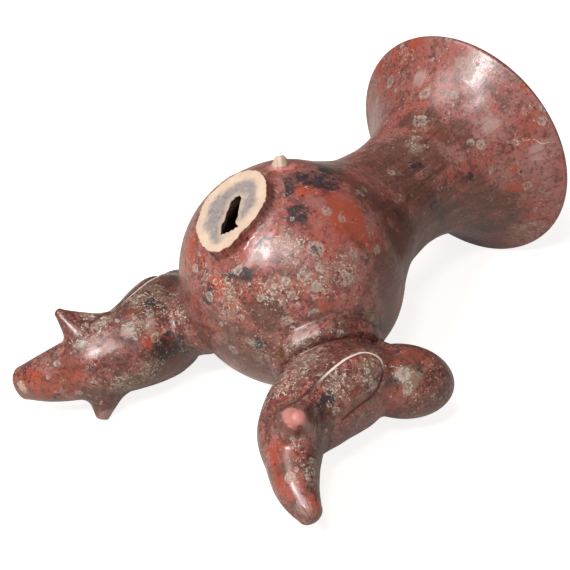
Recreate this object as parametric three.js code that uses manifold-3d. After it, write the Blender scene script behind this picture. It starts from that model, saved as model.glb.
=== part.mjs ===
// Low-fired clay vessel: a globe with a trumpet neck, carried on hollow bird-shaped feet. One of the three
// feet is broken off at its root, so the vessel lies on its side, on the rim and on one side nub of each
// foot that is left. Every piece is one that the potter formed by itself and luted on before the firing.
// Units are millimetres. The pieces are modelled with the vessel standing: +Z along the vessel's axis
// towards the mouth, the origin at the globe's centre, and azimuths counted from +X. layOnSide() then
// turns the whole object into its resting position.
import * as THREE from "three";
import { mergeVertices } from "three/addons/utils/BufferGeometryUtils.js";
import Module from "manifold-3d";

const wasm = await Module();
wasm.setup();

// Driving dimensions of the vessel
const GLOBE_RADIUS = 66.5;
const GLOBE_DEPTH = 63.5; // from the globe's centre to its underside
const NECK_RADIUS = 36.3;
const NECK_HEIGHT = 97;
const RIM_RADIUS = 75.1;
const RIM_HEIGHT = 165.7;
const WALL = 6.2;
const LIP = 4.6;
const FINEST = 0.04; // smallest detail that a mesh keeps
const SEAM = 0.3; // clearance between pieces that touch

// Driving dimensions of a foot
const ROOT_POLAR = 60; // degrees from the underside to the middle of a root
const ROOT_HALF = { up: 26, across: 19.4 };
const SLIT_HALF = { up: 12.2, across: 4.3 };
const COLLAR_HALF = { up: 27, across: 21.4 };
const COLLAR_THICKNESS = 5.3;
const FOOT_WALL = 10.5;
const STAND = { level: -127.3, slope: 2.1, azimuth: -139 }; // plane of the worn facets under the tails
const NUB_SPAN = 34.6;
const GROOVE_RADIUS = 1.2;
const STUMP_LEVEL = 71;

// The two feet that are left and the root of the lost one, by azimuth, with their hand-made differences
// and how much each nub's tip has worn off
const FEET = [
  { name: "near", azimuth: 61, size: 1.0, lean: 0, worn: { left: 0.4, right: 0.4 } },
  { name: "far", azimuth: -158, size: 1.08, lean: 6.2, worn: { left: 3.4, right: 1 } },
];
const STUMP_AZIMUTH = -48.4;
const SCAR = { azimuth: -52.3, polar: 99.7 };

// What the vessel rests on
const SUPPORTS = ["flared_rim", "near_foot_nub_right", "far_foot_nub_left"];

// The rim is out of round and not level, as second and third waves round the mouth
const RIM_WAVE = { cos1: 0, sin1: 0, cos2: -1.59, sin2: 1.25, cos3: -0.1, sin3: -0.79 };
const RIM_TILT = { cos1: 2.43, sin1: 1.0, cos2: 0.18, sin2: 1.37, cos3: 0, sin3: 0 };

const AROUND = 42; // facets round the vessel
const CLAY_RED = new THREE.MeshStandardMaterial({ color: 0x93483b, roughness: 0.42, metalness: 0 });
const CLAY_BODY = new THREE.MeshStandardMaterial({ color: 0xd9c3aa, roughness: 0.9, metalness: 0 });

const radians = THREE.MathUtils.degToRad;
const vec = (x, y, z) => new THREE.Vector3(x, y, z);

// Solids

function toSolid(geometry) {
  const bare = geometry.clone();
  bare.deleteAttribute("normal");
  bare.deleteAttribute("uv");
  const merged = mergeVertices(bare, 1e-4);
  const index = new Uint32Array(merged.index.array);
  const mesh = new wasm.Mesh({
    numProp: 3,
    vertProperties: new Float32Array(merged.attributes.position.array),
    triVerts: index,
  });
  const solid = new wasm.Manifold(mesh);
  if (solid.volume() > 0) return solid;
  for (let i = 0; i < index.length; i += 3) [index[i + 1], index[i + 2]] = [index[i + 2], index[i + 1]];
  return new wasm.Manifold(mesh);
}

// Cuts leave slivers, which are merged away before a solid becomes a mesh.
function toGeometry(rough) {
  const solid = rough.simplify(FINEST);
  const { numProp, vertProperties, triVerts, numVert } = solid.getMesh();
  const position = new Float32Array(numVert * 3);
  for (let i = 0; i < numVert; i++) {
    position.set(vertProperties.subarray(i * numProp, i * numProp + 3), i * 3);
  }
  const geometry = new THREE.BufferGeometry();
  geometry.setAttribute("position", new THREE.BufferAttribute(position, 3));
  geometry.setIndex(new THREE.BufferAttribute(triVerts, 1));
  geometry.computeVertexNormals();
  return geometry;
}

function largest(solid) {
  return solid.decompose().reduce((best, part) => (part.volume() > best.volume() ? part : best));
}

// The vessel's wall

function waveAt(wave, azimuth) {
  return (
    wave.cos1 * Math.cos(azimuth) + wave.sin1 * Math.sin(azimuth) +
    wave.cos2 * Math.cos(2 * azimuth) + wave.sin2 * Math.sin(2 * azimuth) +
    wave.cos3 * Math.cos(3 * azimuth) + wave.sin3 * Math.sin(3 * azimuth)
  );
}

// Outer profile as (radius, height): a quarter ellipse for the bowl, then one spline up to the lip.
const shoulderToLip = new THREE.SplineCurve([
  new THREE.Vector2(GLOBE_RADIUS, 0),
  new THREE.Vector2(62.2, 23.3),
  new THREE.Vector2(49.8, 45),
  new THREE.Vector2(40.6, 64.5),
  new THREE.Vector2(NECK_RADIUS + 0.9, 82),
  new THREE.Vector2(NECK_RADIUS, NECK_HEIGHT),
  new THREE.Vector2(38.6, 115),
  new THREE.Vector2(45.4, 134),
  new THREE.Vector2(58.5, 151.5),
  new THREE.Vector2(RIM_RADIUS, RIM_HEIGHT),
]);

function wallThickness(height) {
  return THREE.MathUtils.lerp(WALL, LIP, THREE.MathUtils.smoothstep(height, NECK_HEIGHT, RIM_HEIGHT));
}

// Point of the outer skin and its outward direction. share runs from -1 at the underside over 0 at the
// equator to 1 at the lip.
function skinAt(share) {
  if (share < 0) {
    const angle = share * (Math.PI / 2);
    const point = new THREE.Vector2(GLOBE_RADIUS * Math.cos(angle), GLOBE_DEPTH * Math.sin(angle));
    const out = new THREE.Vector2(Math.cos(angle) / GLOBE_RADIUS, Math.sin(angle) / GLOBE_DEPTH);
    return { point, out: out.normalize() };
  }
  const along = shoulderToLip.getTangentAt(share);
  return { point: shoulderToLip.getPointAt(share), out: new THREE.Vector2(along.y, -along.x) };
}

// A ring of the wall from one share of the profile to another, with a rounded lip if it ends in the air.
function wallRing(from, to, steps, { lip = false } = {}) {
  const outer = [];
  const inner = [];
  for (let i = 0; i <= steps; i++) {
    const { point, out } = skinAt(from + ((to - from) * i) / steps);
    outer.push(point);
    inner.unshift(point.clone().addScaledVector(out, -wallThickness(point.y)));
  }
  const atPole = from === -1;
  if (atPole) {
    outer[0].x = 0;
    inner[inner.length - 1].x = 0;
  }
  const profile = [...outer];
  if (lip) {
    const a = outer[outer.length - 1];
    const b = inner[0];
    const middle = a.clone().add(b).multiplyScalar(0.5);
    const half = a.clone().sub(middle);
    const ahead = new THREE.Vector2(-half.y, half.x);
    for (const angle of [45, 90, 135]) {
      const turn = radians(angle);
      profile.push(
        middle.clone().addScaledVector(half, Math.cos(turn)).addScaledVector(ahead, Math.sin(turn) * 0.8),
      );
    }
  }
  profile.push(...inner);
  if (!atPole) profile.push(outer[0].clone());
  const geometry = new THREE.LatheGeometry(profile, AROUND);
  geometry.rotateX(Math.PI / 2);
  geometry.rotateZ(Math.PI);
  warpMouth(geometry);
  return toSolid(geometry);
}

function warpMouth(geometry) {
  const position = geometry.attributes.position;
  for (let i = 0; i < position.count; i++) {
    const p = new THREE.Vector3().fromBufferAttribute(position, i);
    const share = THREE.MathUtils.smoothstep(p.z, NECK_HEIGHT, RIM_HEIGHT);
    const radius = Math.hypot(p.x, p.y);
    if (share === 0 || radius === 0) continue;
    const azimuth = Math.atan2(p.y, p.x);
    const stretched = radius + share * waveAt(RIM_WAVE, azimuth);
    position.setXYZ(
      i,
      (p.x / radius) * stretched,
      (p.y / radius) * stretched,
      p.z + share * waveAt(RIM_TILT, azimuth),
    );
  }
}

function globeSolid(grow) {
  const geometry = new THREE.SphereGeometry(1, AROUND, 28);
  geometry.rotateX(Math.PI / 2);
  geometry.scale(GLOBE_RADIUS + grow, GLOBE_RADIUS + grow, GLOBE_DEPTH + grow);
  return toSolid(geometry);
}

// Frame of a root on the globe: out of the wall, up along the meridian, and across.
function rootFrame(azimuth, polar = ROOT_POLAR) {
  const p = radians(polar);
  const a = radians(azimuth);
  const out = vec(Math.sin(p) * Math.cos(a), Math.sin(p) * Math.sin(a), -Math.cos(p));
  const across = vec(-Math.sin(a), Math.cos(a), 0);
  const up = new THREE.Vector3().crossVectors(out, across);
  return new THREE.Matrix4().makeBasis(across, up, out);
}

// An oval bar along a root's outward direction, from one distance off the globe's centre to another.
function rootBar({ azimuth, polar = ROOT_POLAR }, half, from, to, segments = 12) {
  const oval = new THREE.Shape().absellipse(0, 0, half.across, half.up, 0, Math.PI * 2);
  const geometry = new THREE.ExtrudeGeometry(oval, {
    depth: to - from,
    bevelEnabled: false,
    curveSegments: segments,
  });
  geometry.translate(0, 0, from);
  geometry.applyMatrix4(rootFrame(azimuth, polar));
  return toSolid(geometry);
}

// Feet, modelled at azimuth 0: X outwards, Y to the side, Z up

// Spine of the bird's trunk and tail, from under the head to the tail's tip
const spine = new THREE.CatmullRomCurve3([
  vec(87, 0, -19),
  vec(80.5, 0, -39),
  vec(73, 0, -62),
  vec(76.8, 0, -85),
  vec(89.6, 0, -100.4),
  vec(101.4, 0, -110.6),
  vec(114.6, 0, -117.6),
]);
const sideHalf = [23, 27.6, 25.4, 21.6, 17.4, 13.7, 9.8]; // half width at the spine's points
const backHalf = [13, 20.5, 24.6, 20, 14.9, 12.2, 8.2]; // half thickness at the spine's points
const TAIL_START = 0.66;

function between(values, share) {
  const at = share * (values.length - 1);
  const i = Math.min(Math.floor(at), values.length - 2);
  const f = at - i;
  const before = values[Math.max(i - 1, 0)];
  const after = values[Math.min(i + 2, values.length - 1)];
  const [a, b] = [values[i], values[i + 1]];
  const slopeA = (b - before) / 2;
  const slopeB = (after - a) / 2;
  return (
    a * (2 * f ** 3 - 3 * f ** 2 + 1) + b * (-2 * f ** 3 + 3 * f ** 2) +
    slopeA * (f ** 3 - 2 * f ** 2 + f) + slopeB * (f ** 3 - f ** 2)
  );
}

// A closed skin over rings of points. Each ring is a centre, two half axes and their lengths.
function loft(rings, segments) {
  const points = [];
  const index = [];
  for (const ring of rings) {
    for (let k = 0; k < segments; k++) {
      const angle = (k / segments) * Math.PI * 2;
      points.push(
        ring.centre
          .clone()
          .addScaledVector(ring.side, Math.cos(angle) * ring.wide)
          .addScaledVector(ring.back, Math.sin(angle) * ring.thick),
      );
    }
  }
  for (let r = 0; r < rings.length - 1; r++) {
    for (let k = 0; k < segments; k++) {
      const a = r * segments + k;
      const b = r * segments + ((k + 1) % segments);
      index.push(a, b, a + segments, b, b + segments, a + segments);
    }
  }
  for (const [r, flip] of [[0, true], [rings.length - 1, false]]) {
    const pole = points.push(rings[r].centre.clone()) - 1;
    for (let k = 0; k < segments; k++) {
      const a = r * segments + k;
      const b = r * segments + ((k + 1) % segments);
      index.push(...(flip ? [b, a, pole] : [a, b, pole]));
    }
  }
  const geometry = new THREE.BufferGeometry().setFromPoints(points);
  geometry.setIndex(index);
  return toSolid(geometry);
}

function spineRing(share, grow = 0, wide = 1, thick = 1) {
  const along = spine.getTangent(share);
  return {
    centre: spine.getPoint(share),
    side: vec(0, 1, 0),
    back: vec(along.z, 0, -along.x),
    along,
    wide: (between(sideHalf, share) + grow) * wide,
    thick: (between(backHalf, share) + grow) * thick,
  };
}

// The ends of a loft on the spine are rounded by rings that shrink along a quarter ellipse.
function spineLoft({ from, to, steps, grow = 0, roundStart = 0, roundEnd = 0, segments = 20 }) {
  const rings = [];
  const rounded = (share, depth, direction) => {
    const made = [];
    for (const angle of [80, 55, 28]) {
      const shrink = Math.cos(radians(angle));
      const ring = spineRing(share, grow, shrink, shrink);
      ring.centre.addScaledVector(ring.along, direction * (depth + grow) * Math.sin(radians(angle)));
      made.push(ring);
    }
    return made;
  };
  if (roundStart) rings.push(...rounded(from, roundStart, -1));
  for (let i = 0; i <= steps; i++) rings.push(spineRing(from + ((to - from) * i) / steps, grow));
  if (roundEnd) rings.push(...rounded(to, roundEnd, 1).reverse());
  return loft(rings, segments);
}

// Where a foot goes: at its azimuth, sized about its root and leaning to one side about its tail.
function placement(foot) {
  const root = vec(0, 0, GLOBE_RADIUS).applyMatrix4(rootFrame(0));
  return new THREE.Matrix4()
    .makeRotationZ(radians(foot.azimuth))
    .multiply(new THREE.Matrix4().makeTranslation(0, 0, STAND.level))
    .multiply(new THREE.Matrix4().makeRotationX(radians(foot.lean)))
    .multiply(new THREE.Matrix4().makeTranslation(root.x, root.y, root.z - STAND.level))
    .multiply(new THREE.Matrix4().makeScale(foot.size, foot.size, foot.size))
    .multiply(new THREE.Matrix4().makeTranslation(-root.x, -root.y, -root.z));
}

// The root of a placed foot on the globe, as azimuth and polar angle
function seatOf(foot) {
  const seat = vec(0, 0, GLOBE_RADIUS).applyMatrix4(rootFrame(0)).applyMatrix4(placement(foot));
  return {
    azimuth: THREE.MathUtils.radToDeg(Math.atan2(seat.y, seat.x)),
    polar: THREE.MathUtils.radToDeg(Math.acos(-seat.z / seat.length())),
  };
}

function trunkSolid(grow = 0) {
  const body = spineLoft({ from: 0, to: TAIL_START, steps: 8, grow, roundStart: 9 });
  const half = { up: ROOT_HALF.up + grow, across: ROOT_HALF.across + grow };
  return body.add(rootBar({ azimuth: 0 }, half, GLOBE_RADIUS - 8, GLOBE_RADIUS + 12));
}

function tailSolid(grow = 0) {
  return spineLoft({ from: TAIL_START, to: 1, steps: 5, grow, roundEnd: 6.4 });
}

// The incised line round a wing, an arch open at the nub: shares of the spine and degrees round the trunk
const WING_ARCH = [
  [0.54, 7],
  [0.42, -3],
  [0.31, -3],
  [0.21, 6],
  [0.14, 7],
  [0.1, -13],
  [0.12, -40],
  [0.2, -58],
  [0.39, -62],
];

function wingGroove(sideways) {
  const arch = new THREE.CatmullRomCurve3(WING_ARCH.map(([share, angle]) => vec(share, radians(angle), 0)));
  const points = arch.getPoints(18).map((at) => {
    const ring = spineRing(at.x);
    return ring.centre
      .addScaledVector(ring.side, sideways * Math.cos(at.y) * ring.wide)
      .addScaledVector(ring.back, Math.sin(at.y) * ring.thick);
  });
  const cut = new THREE.Shape().absarc(0, 0, GROOVE_RADIUS, 0, Math.PI * 2);
  return toSolid(
    new THREE.ExtrudeGeometry(cut, {
      steps: 18,
      curveSegments: 2,
      bevelEnabled: false,
      extrudePath: new THREE.CatmullRomCurve3(points),
    }),
  );
}

// A cone nub at a wing's tip, whose end may have worn flat
function nubSolid(sideways, worn = 0) {
  const height = 15.4 - worn;
  const radius = Math.min(5, 3 + worn * 0.6);
  const profile = [
    new THREE.Vector2(0, -6),
    new THREE.Vector2(10.8, -6),
    new THREE.Vector2(9.8, 0),
    new THREE.Vector2(7.2, 5.6),
    new THREE.Vector2(5.4, 10.2),
    new THREE.Vector2(radius, height - 1),
    new THREE.Vector2(radius * 0.5, height),
    new THREE.Vector2(0, height),
  ];
  const geometry = new THREE.LatheGeometry(profile, 14);
  const along = vec(0.32, sideways * 0.9, -0.3).normalize();
  const turn = new THREE.Quaternion().setFromUnitVectors(vec(0, 1, 0), along);
  geometry.applyQuaternion(turn);
  const tip = vec(87.2, sideways * NUB_SPAN, -98.5);
  const base = tip.addScaledVector(along, -15.2);
  geometry.translate(base.x, base.y, base.z);
  return toSolid(geometry);
}

const HEAD = { centre: vec(96.3, 0, -15), radii: vec(28.5, 21, 23.4), tilt: -45 };

function headSolid(grow = 0) {
  const geometry = new THREE.SphereGeometry(1, 20, 12);
  geometry.rotateX(Math.PI / 2);
  geometry.scale(HEAD.radii.x + grow, HEAD.radii.y + grow, HEAD.radii.z + grow);
  geometry.rotateY(radians(HEAD.tilt));
  geometry.translate(HEAD.centre.x, HEAD.centre.y, HEAD.centre.z);
  return toSolid(geometry);
}

// The bill is a hooked cone from the head's inner cheek to the globe's wall.
function billSolid() {
  const line = new THREE.QuadraticBezierCurve3(vec(86, 0, -6), vec(76, 0, -1), vec(62, 0, -2.5));
  const rings = [];
  const steps = 6;
  for (let i = 0; i <= steps; i++) {
    const share = i / steps;
    const along = line.getTangent(share);
    rings.push({
      centre: line.getPoint(share),
      side: vec(0, 1, 0),
      back: vec(along.z, 0, -along.x),
      wide: THREE.MathUtils.lerp(12, 7, share),
      thick: THREE.MathUtils.lerp(9.5, 5.4, share),
    });
  }
  return loft(rings, 16);
}

function collarSolid({ azimuth, polar }, grow = 0) {
  const points = [];
  const steps = 24;
  const frame = rootFrame(azimuth, polar);
  for (let i = 0; i < steps; i++) {
    const angle = (i / steps) * Math.PI * 2;
    const flat = vec(Math.cos(angle) * COLLAR_HALF.across, Math.sin(angle) * COLLAR_HALF.up, 0);
    flat.z = Math.sqrt((GLOBE_RADIUS + 1.6) ** 2 - flat.lengthSq());
    points.push(flat.applyMatrix4(frame));
  }
  const line = new THREE.CatmullRomCurve3(points, true);
  const cut = new THREE.Shape().absarc(0, 0, COLLAR_THICKNESS + grow, 0, Math.PI * 2);
  return toSolid(
    new THREE.ExtrudeGeometry(cut, { steps: 26, curveSegments: 3, bevelEnabled: false, extrudePath: line }),
  );
}

// Assembly

const vessel = new THREE.Group();

function addPiece(name, solid, material = CLAY_RED) {
  const mesh = new THREE.Mesh(toGeometry(solid), material);
  mesh.name = name;
  vessel.add(mesh);
  return mesh;
}

function buildWall() {
  const gap = SEAM / 160;
  const seats = [...FEET.map(seatOf), { azimuth: STUMP_AZIMUTH }];
  const bowl = seats.reduce(
    (solid, seat) => solid.subtract(rootBar(seat, SLIT_HALF, GLOBE_RADIUS - 16, GLOBE_RADIUS + 6, 7)),
    wallRing(-1, 0, 8),
  );
  addPiece("globe_bowl", bowl);
  addPiece("globe_shoulder", wallRing(2 * gap, 0.3, 5));
  addPiece("neck", wallRing(0.3 + 2 * gap, 0.66, 4));
  addPiece("flared_rim", wallRing(0.66 + 2 * gap, 1, 6, { lip: true }));
}

function buildFoot(foot) {
  const skin = globeSolid(SEAM);
  const at = placement(foot).elements;
  const outer = trunkSolid();
  const trunkGrown = trunkSolid(SEAM);
  const chamber = spineLoft({
    from: 0.12,
    to: 0.52,
    steps: 5,
    grow: -FOOT_WALL,
    roundStart: 6,
    roundEnd: 6,
    segments: 12,
  });
  const slit = rootBar({ azimuth: 0 }, SLIT_HALF, GLOBE_RADIUS - 12, GLOBE_RADIUS + 14, 7);
  const trunk = [-1, 1].reduce(
    (solid, sideways) => solid.subtract(wingGroove(sideways)),
    outer.subtract(chamber.add(slit)),
  );
  const trunkEnd = spineLoft({ from: 0, to: TAIL_START, steps: 8, grow: SEAM, roundStart: 9 });
  const tail = tailSolid().subtract(trunkEnd);
  const head = headSolid().subtract(trunkGrown);
  const bill = billSolid().subtract(headSolid(SEAM)).subtract(trunkGrown);
  const nubs = [nubSolid(-1, foot.worn.left), nubSolid(1, foot.worn.right)].map((nub) =>
    nub.subtract(trunkGrown).subtract(tailSolid(SEAM)),
  );
  const collar = collarSolid(seatOf(foot))
    .subtract(skin)
    .subtract(trunkGrown.add(headSolid(SEAM)).transform(at));
  const collarGrown = collarSolid(seatOf(foot), SEAM);

  addPiece(`${foot.name}_foot_trunk`, largest(trunk.transform(at).subtract(skin)));
  addPiece(`${foot.name}_foot_tail`, largest(tail.transform(at).subtract(groundSolid())));
  addPiece(`${foot.name}_foot_head`, largest(head.transform(at).subtract(skin)));
  addPiece(`${foot.name}_foot_bill`, largest(bill.transform(at).subtract(skin).subtract(collarGrown)));
  addPiece(`${foot.name}_foot_nub_left`, largest(nubs[0].transform(at)));
  addPiece(`${foot.name}_foot_nub_right`, largest(nubs[1].transform(at)));
  addPiece(`${foot.name}_foot_collar`, largest(collar));
}

// The plane on which the tails have worn flat
function groundSolid() {
  const ground = new THREE.BoxGeometry(500, 500, 100);
  ground.translate(0, 0, -50);
  ground.rotateY(radians(STAND.slope));
  ground.rotateZ(radians(STAND.azimuth));
  ground.translate(0, 0, STAND.level);
  return toSolid(ground);
}

// The break runs round the lost root as an uneven oval.
function brokenOutline(turn) {
  const coarse = 0.035 * Math.sin(3 * turn + 0.7) + 0.025 * Math.sin(7 * turn);
  const ragged = 1 + coarse + 0.02 * Math.sin(11 * turn + 2);
  return new THREE.Vector2(
    Math.cos(turn) * ROOT_HALF.across * ragged,
    Math.sin(turn) * ROOT_HALF.up * ragged,
  );
}

function buildStump() {
  const steps = 40;
  const outline = Array.from({ length: steps }, (_, i) => brokenOutline((i / steps) * Math.PI * 2));
  const bar = new THREE.ExtrudeGeometry(new THREE.Shape(outline), {
    depth: STUMP_LEVEL - GLOBE_RADIUS + 14,
    bevelEnabled: false,
  });
  bar.translate(0, 0, GLOBE_RADIUS - 14);
  bar.applyMatrix4(rootFrame(STUMP_AZIMUTH));
  const stump = toSolid(bar)
    .subtract(rootBar({ azimuth: STUMP_AZIMUTH }, SLIT_HALF, GLOBE_RADIUS - 20, STUMP_LEVEL + 6, 7))
    .subtract(globeSolid(SEAM));
  addPiece("lost_foot_stump", largest(stump), CLAY_BODY);

  const scar = new THREE.CylinderGeometry(2.2, 5.4, 10, 12);
  scar.rotateX(Math.PI / 2);
  scar.translate(0, 0, GLOBE_RADIUS - 0.6);
  scar.applyMatrix4(rootFrame(SCAR.azimuth, SCAR.polar));
  addPiece("lost_bill_scar", largest(toSolid(scar).subtract(globeSolid(SEAM))), CLAY_BODY);
}

// Resting position: the plane that the rim and one nub of each foot touch is the ground.

function furthest(name, direction) {
  const position = vessel.getObjectByName(name).geometry.attributes.position;
  let best = new THREE.Vector3().fromBufferAttribute(position, 0);
  for (let i = 1; i < position.count; i++) {
    const p = new THREE.Vector3().fromBufferAttribute(position, i);
    if (p.dot(direction) > best.dot(direction)) best = p;
  }
  return best;
}

function layOnSide() {
  const halfway = radians((FEET[0].azimuth + FEET[1].azimuth + 360) / 2);
  let down = vec(Math.cos(halfway), Math.sin(halfway), 0);
  for (let i = 0; i < 12; i++) {
    const [rim, near, far] = SUPPORTS.map((name) => furthest(name, down));
    const toNear = near.clone().sub(rim);
    const toFar = far.clone().sub(rim);
    const normal = new THREE.Vector3().crossVectors(toNear, toFar).normalize();
    down = normal.dot(down) > 0 ? normal : normal.negate();
  }
  const up = down.clone().negate();
  const ahead = vec(0, 0, 1).addScaledVector(up, -up.z).normalize();
  const left = new THREE.Vector3().crossVectors(up, ahead);
  const turn = new THREE.Matrix4().makeBasis(ahead, left, up).transpose();
  const box = new THREE.Box3();
  for (const mesh of vessel.children) {
    mesh.geometry.applyMatrix4(turn);
    mesh.geometry.computeBoundingBox();
    box.union(mesh.geometry.boundingBox);
  }
  const middle = box.getCenter(new THREE.Vector3());
  for (const mesh of vessel.children) mesh.geometry.translate(-middle.x, -middle.y, -box.min.z);
}

buildWall();
FEET.forEach(buildFoot);
buildStump();
layOnSide();

export default vessel;
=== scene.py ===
"""Looks of a bird-footed clay vessel that lies on its side, with one of its three feet broken off.

The clay is modelled in the frame of the standing vessel, in millimetres: +Z along its axis to the mouth,
the origin at the globe's centre, azimuths from +X. Resting turns that frame into the row's frame, in metres.
Feet and scars are distance fields that run smoothly into the globe, made into meshes by surface nets.
"""

from __future__ import annotations

import logging
import math
from dataclasses import dataclass, field
from enum import Enum
from typing import Callable, Sequence

import bmesh
import bpy
import numpy as np
from mathutils import Matrix, Vector

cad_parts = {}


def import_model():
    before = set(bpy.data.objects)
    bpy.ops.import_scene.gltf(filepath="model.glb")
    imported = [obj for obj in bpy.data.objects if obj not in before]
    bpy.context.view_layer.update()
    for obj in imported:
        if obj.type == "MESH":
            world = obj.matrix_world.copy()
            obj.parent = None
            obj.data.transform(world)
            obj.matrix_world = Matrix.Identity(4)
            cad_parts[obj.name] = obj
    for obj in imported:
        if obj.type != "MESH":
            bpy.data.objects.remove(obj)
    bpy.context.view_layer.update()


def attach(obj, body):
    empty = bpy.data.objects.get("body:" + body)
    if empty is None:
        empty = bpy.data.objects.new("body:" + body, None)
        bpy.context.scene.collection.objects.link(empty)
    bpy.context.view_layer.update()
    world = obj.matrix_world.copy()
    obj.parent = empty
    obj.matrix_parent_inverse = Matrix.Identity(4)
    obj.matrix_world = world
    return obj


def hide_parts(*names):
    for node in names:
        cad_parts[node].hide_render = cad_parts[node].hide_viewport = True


log = logging.getLogger("vessel")

MM = 0.001
Array = np.ndarray
Field = Callable[[Array], Array]
Object = bpy.types.Object
Material = bpy.types.Material
Tree = bpy.types.NodeTree
Socket = bpy.types.NodeSocket


# Small mathematics


def smoothstep(value: Array, low: float, high: float) -> Array:
    """Ease from 0 at low to 1 at high.

    Args:
        value: Numbers to ease.
        low: Where the ramp starts. It may be the larger of the two.
        high: Where the ramp ends.

    Returns:
        Numbers from 0 to 1.
    """
    t = np.clip((value - low) / (high - low), 0.0, 1.0)
    return t * t * (3.0 - 2.0 * t)


def smooth_min(a: Array, b: Array, reach: float) -> Array:
    """Join two distance fields with a fillet.

    Args:
        a: Distances to the first body.
        b: Distances to the second body.
        reach: How far apart the distances may be for the fillet to act, in mm.

    Returns:
        Distances to the joined body.
    """
    h = np.clip(0.5 + 0.5 * (b - a) / reach, 0.0, 1.0)
    return b + (a - b) * h - reach * h * (1.0 - h)


def smooth_max(a: Array, b: Array, reach: float) -> Array:
    """Keep what two distance fields share, with a rounded edge of the given reach in mm."""
    return -smooth_min(-a, -b, reach)


def catmull_rom(points: Sequence[Sequence[float]], steps: int, closed: bool = False) -> Array:
    """Run a smooth line through points.

    Args:
        points: The points that the line passes, of any dimension.
        steps: Samples for each stretch between two points.
        closed: Whether the line returns to its start.

    Returns:
        The samples, one row each.
    """
    p = np.asarray(points, float)
    n = len(p)
    spans = n if closed else n - 1
    t = np.arange(steps)[:, None] / steps
    rows = []
    for i in range(spans):
        if closed:
            a, b, c, d = (p[(i + k) % n] for k in (-1, 0, 1, 2))
        else:
            a, b, c, d = p[max(i - 1, 0)], p[i], p[i + 1], p[min(i + 2, n - 1)]
        rows.append(
            0.5 * (2 * b + (c - a) * t + (2 * a - 5 * b + 4 * c - d) * t**2 + (3 * b - a - 3 * c + d) * t**3)
        )
    if not closed:
        rows.append(p[-1:])
    return np.concatenate(rows)


def ellipsoid_distance(offset: Array, radii: Array) -> Array:
    """Distance to an ellipsoid or ellipse, true to first order near its skin.

    Args:
        offset: Points from the centre, along the axes.
        radii: Half axes, one row for all points or one for each.

    Returns:
        Signed distances, below 0 inside.
    """
    k0 = np.linalg.norm(offset / radii, axis=-1)
    k1 = np.linalg.norm(offset / radii**2, axis=-1)
    return np.where(k1 > 1e-6, k0 * (k0 - 1.0) / np.maximum(k1, 1e-6), -np.min(radii, axis=-1))


def unit_rows(rows: Array) -> Array:
    """Rows of vectors, each made one long."""
    return rows / np.linalg.norm(rows, axis=1)[:, None]


def polyline_distance(points: Array, line: Array, closed: bool = False) -> Array:
    """Distance from points to a line of straight stretches.

    Args:
        points: Points, one row each.
        line: The line's corners, one row each.
        closed: Whether the line returns to its start.

    Returns:
        Unsigned distances.
    """
    starts = line if closed else line[:-1]
    ends = np.roll(line, -1, axis=0) if closed else line[1:]
    best = np.full(len(points), np.inf)
    for a, b in zip(starts, ends):
        along = b - a
        t = np.clip(((points - a) @ along) / (along @ along), 0.0, 1.0)
        best = np.minimum(best, ((points - a - t[:, None] * along) ** 2).sum(1))
    return np.sqrt(best)


def beside_line(points: Array, line: Array, out: Array) -> Array:
    """Where points lie beside a line on a surface.

    Args:
        points: Points, one row each.
        line: The line's corners, one row each.
        out: The surface's outward direction at each corner.

    Returns:
        Rows of the signed distance aside, the distance past the line's ends or off its plane, and the
        share of the line at the nearest point.
    """
    best = np.full(len(points), np.inf)
    result = np.zeros((len(points), 3))
    spans = len(line) - 1
    for i in range(spans):
        along = line[i + 1] - line[i]
        length = np.linalg.norm(along)
        along = along / length
        side = np.cross(along, out[i] + out[i + 1])
        side /= np.linalg.norm(side)
        offset = points - line[i]
        at = offset @ along
        held = np.clip(at, 0.0, length)
        rest = offset - held[:, None] * along
        gap = np.linalg.norm(rest, axis=1)
        aside = rest @ side
        past = np.zeros(len(points))
        if i == 0:
            past = np.maximum(past, -at)
        if i == spans - 1:
            past = np.maximum(past, at - length)
        past = past + np.maximum(0.0, np.sqrt(np.maximum(gap**2 - aside**2 - past**2, 0.0)) - 7.0)
        nearer = gap < best
        best[nearer] = gap[nearer]
        result[nearer] = np.stack([aside, past, (i + held / length) / spans], 1)[nearer]
    return result


def outline_distance(points: Array, outline: Array) -> Array:
    """Signed distance from flat points to a closed outline, below 0 inside.

    Args:
        points: Flat points, one row each.
        outline: The outline's corners in order.

    Returns:
        Signed distances.
    """
    inside = np.zeros(len(points), bool)
    for a, b in zip(outline, np.roll(outline, -1, axis=0)):
        spans = (a[1] > points[:, 1]) != (b[1] > points[:, 1])
        rise = b[1] - a[1] if b[1] != a[1] else 1.0
        inside ^= spans & (points[:, 0] < a[0] + (points[:, 1] - a[1]) * (b[0] - a[0]) / rise)
    return np.where(inside, -1.0, 1.0) * polyline_distance(points, outline, closed=True)


def direction(azimuth: float, polar: float) -> Array:
    """Unit vector from the globe's centre.

    Args:
        azimuth: Degrees about the vessel's axis.
        polar: Degrees from the underside.

    Returns:
        The vector in the standing frame.
    """
    a, p = math.radians(azimuth), math.radians(polar)
    return np.array([math.sin(p) * math.cos(a), math.sin(p) * math.sin(a), -math.cos(p)])


def root_axes(azimuth: float, polar: float) -> Array:
    """Rows across, up and out of the wall at a place on the globe, in the standing frame."""
    out = direction(azimuth, polar)
    a = math.radians(azimuth)
    across = np.array([-math.sin(a), math.cos(a), 0.0])
    return np.stack([across, np.cross(out, across), out])


# Frames


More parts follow.
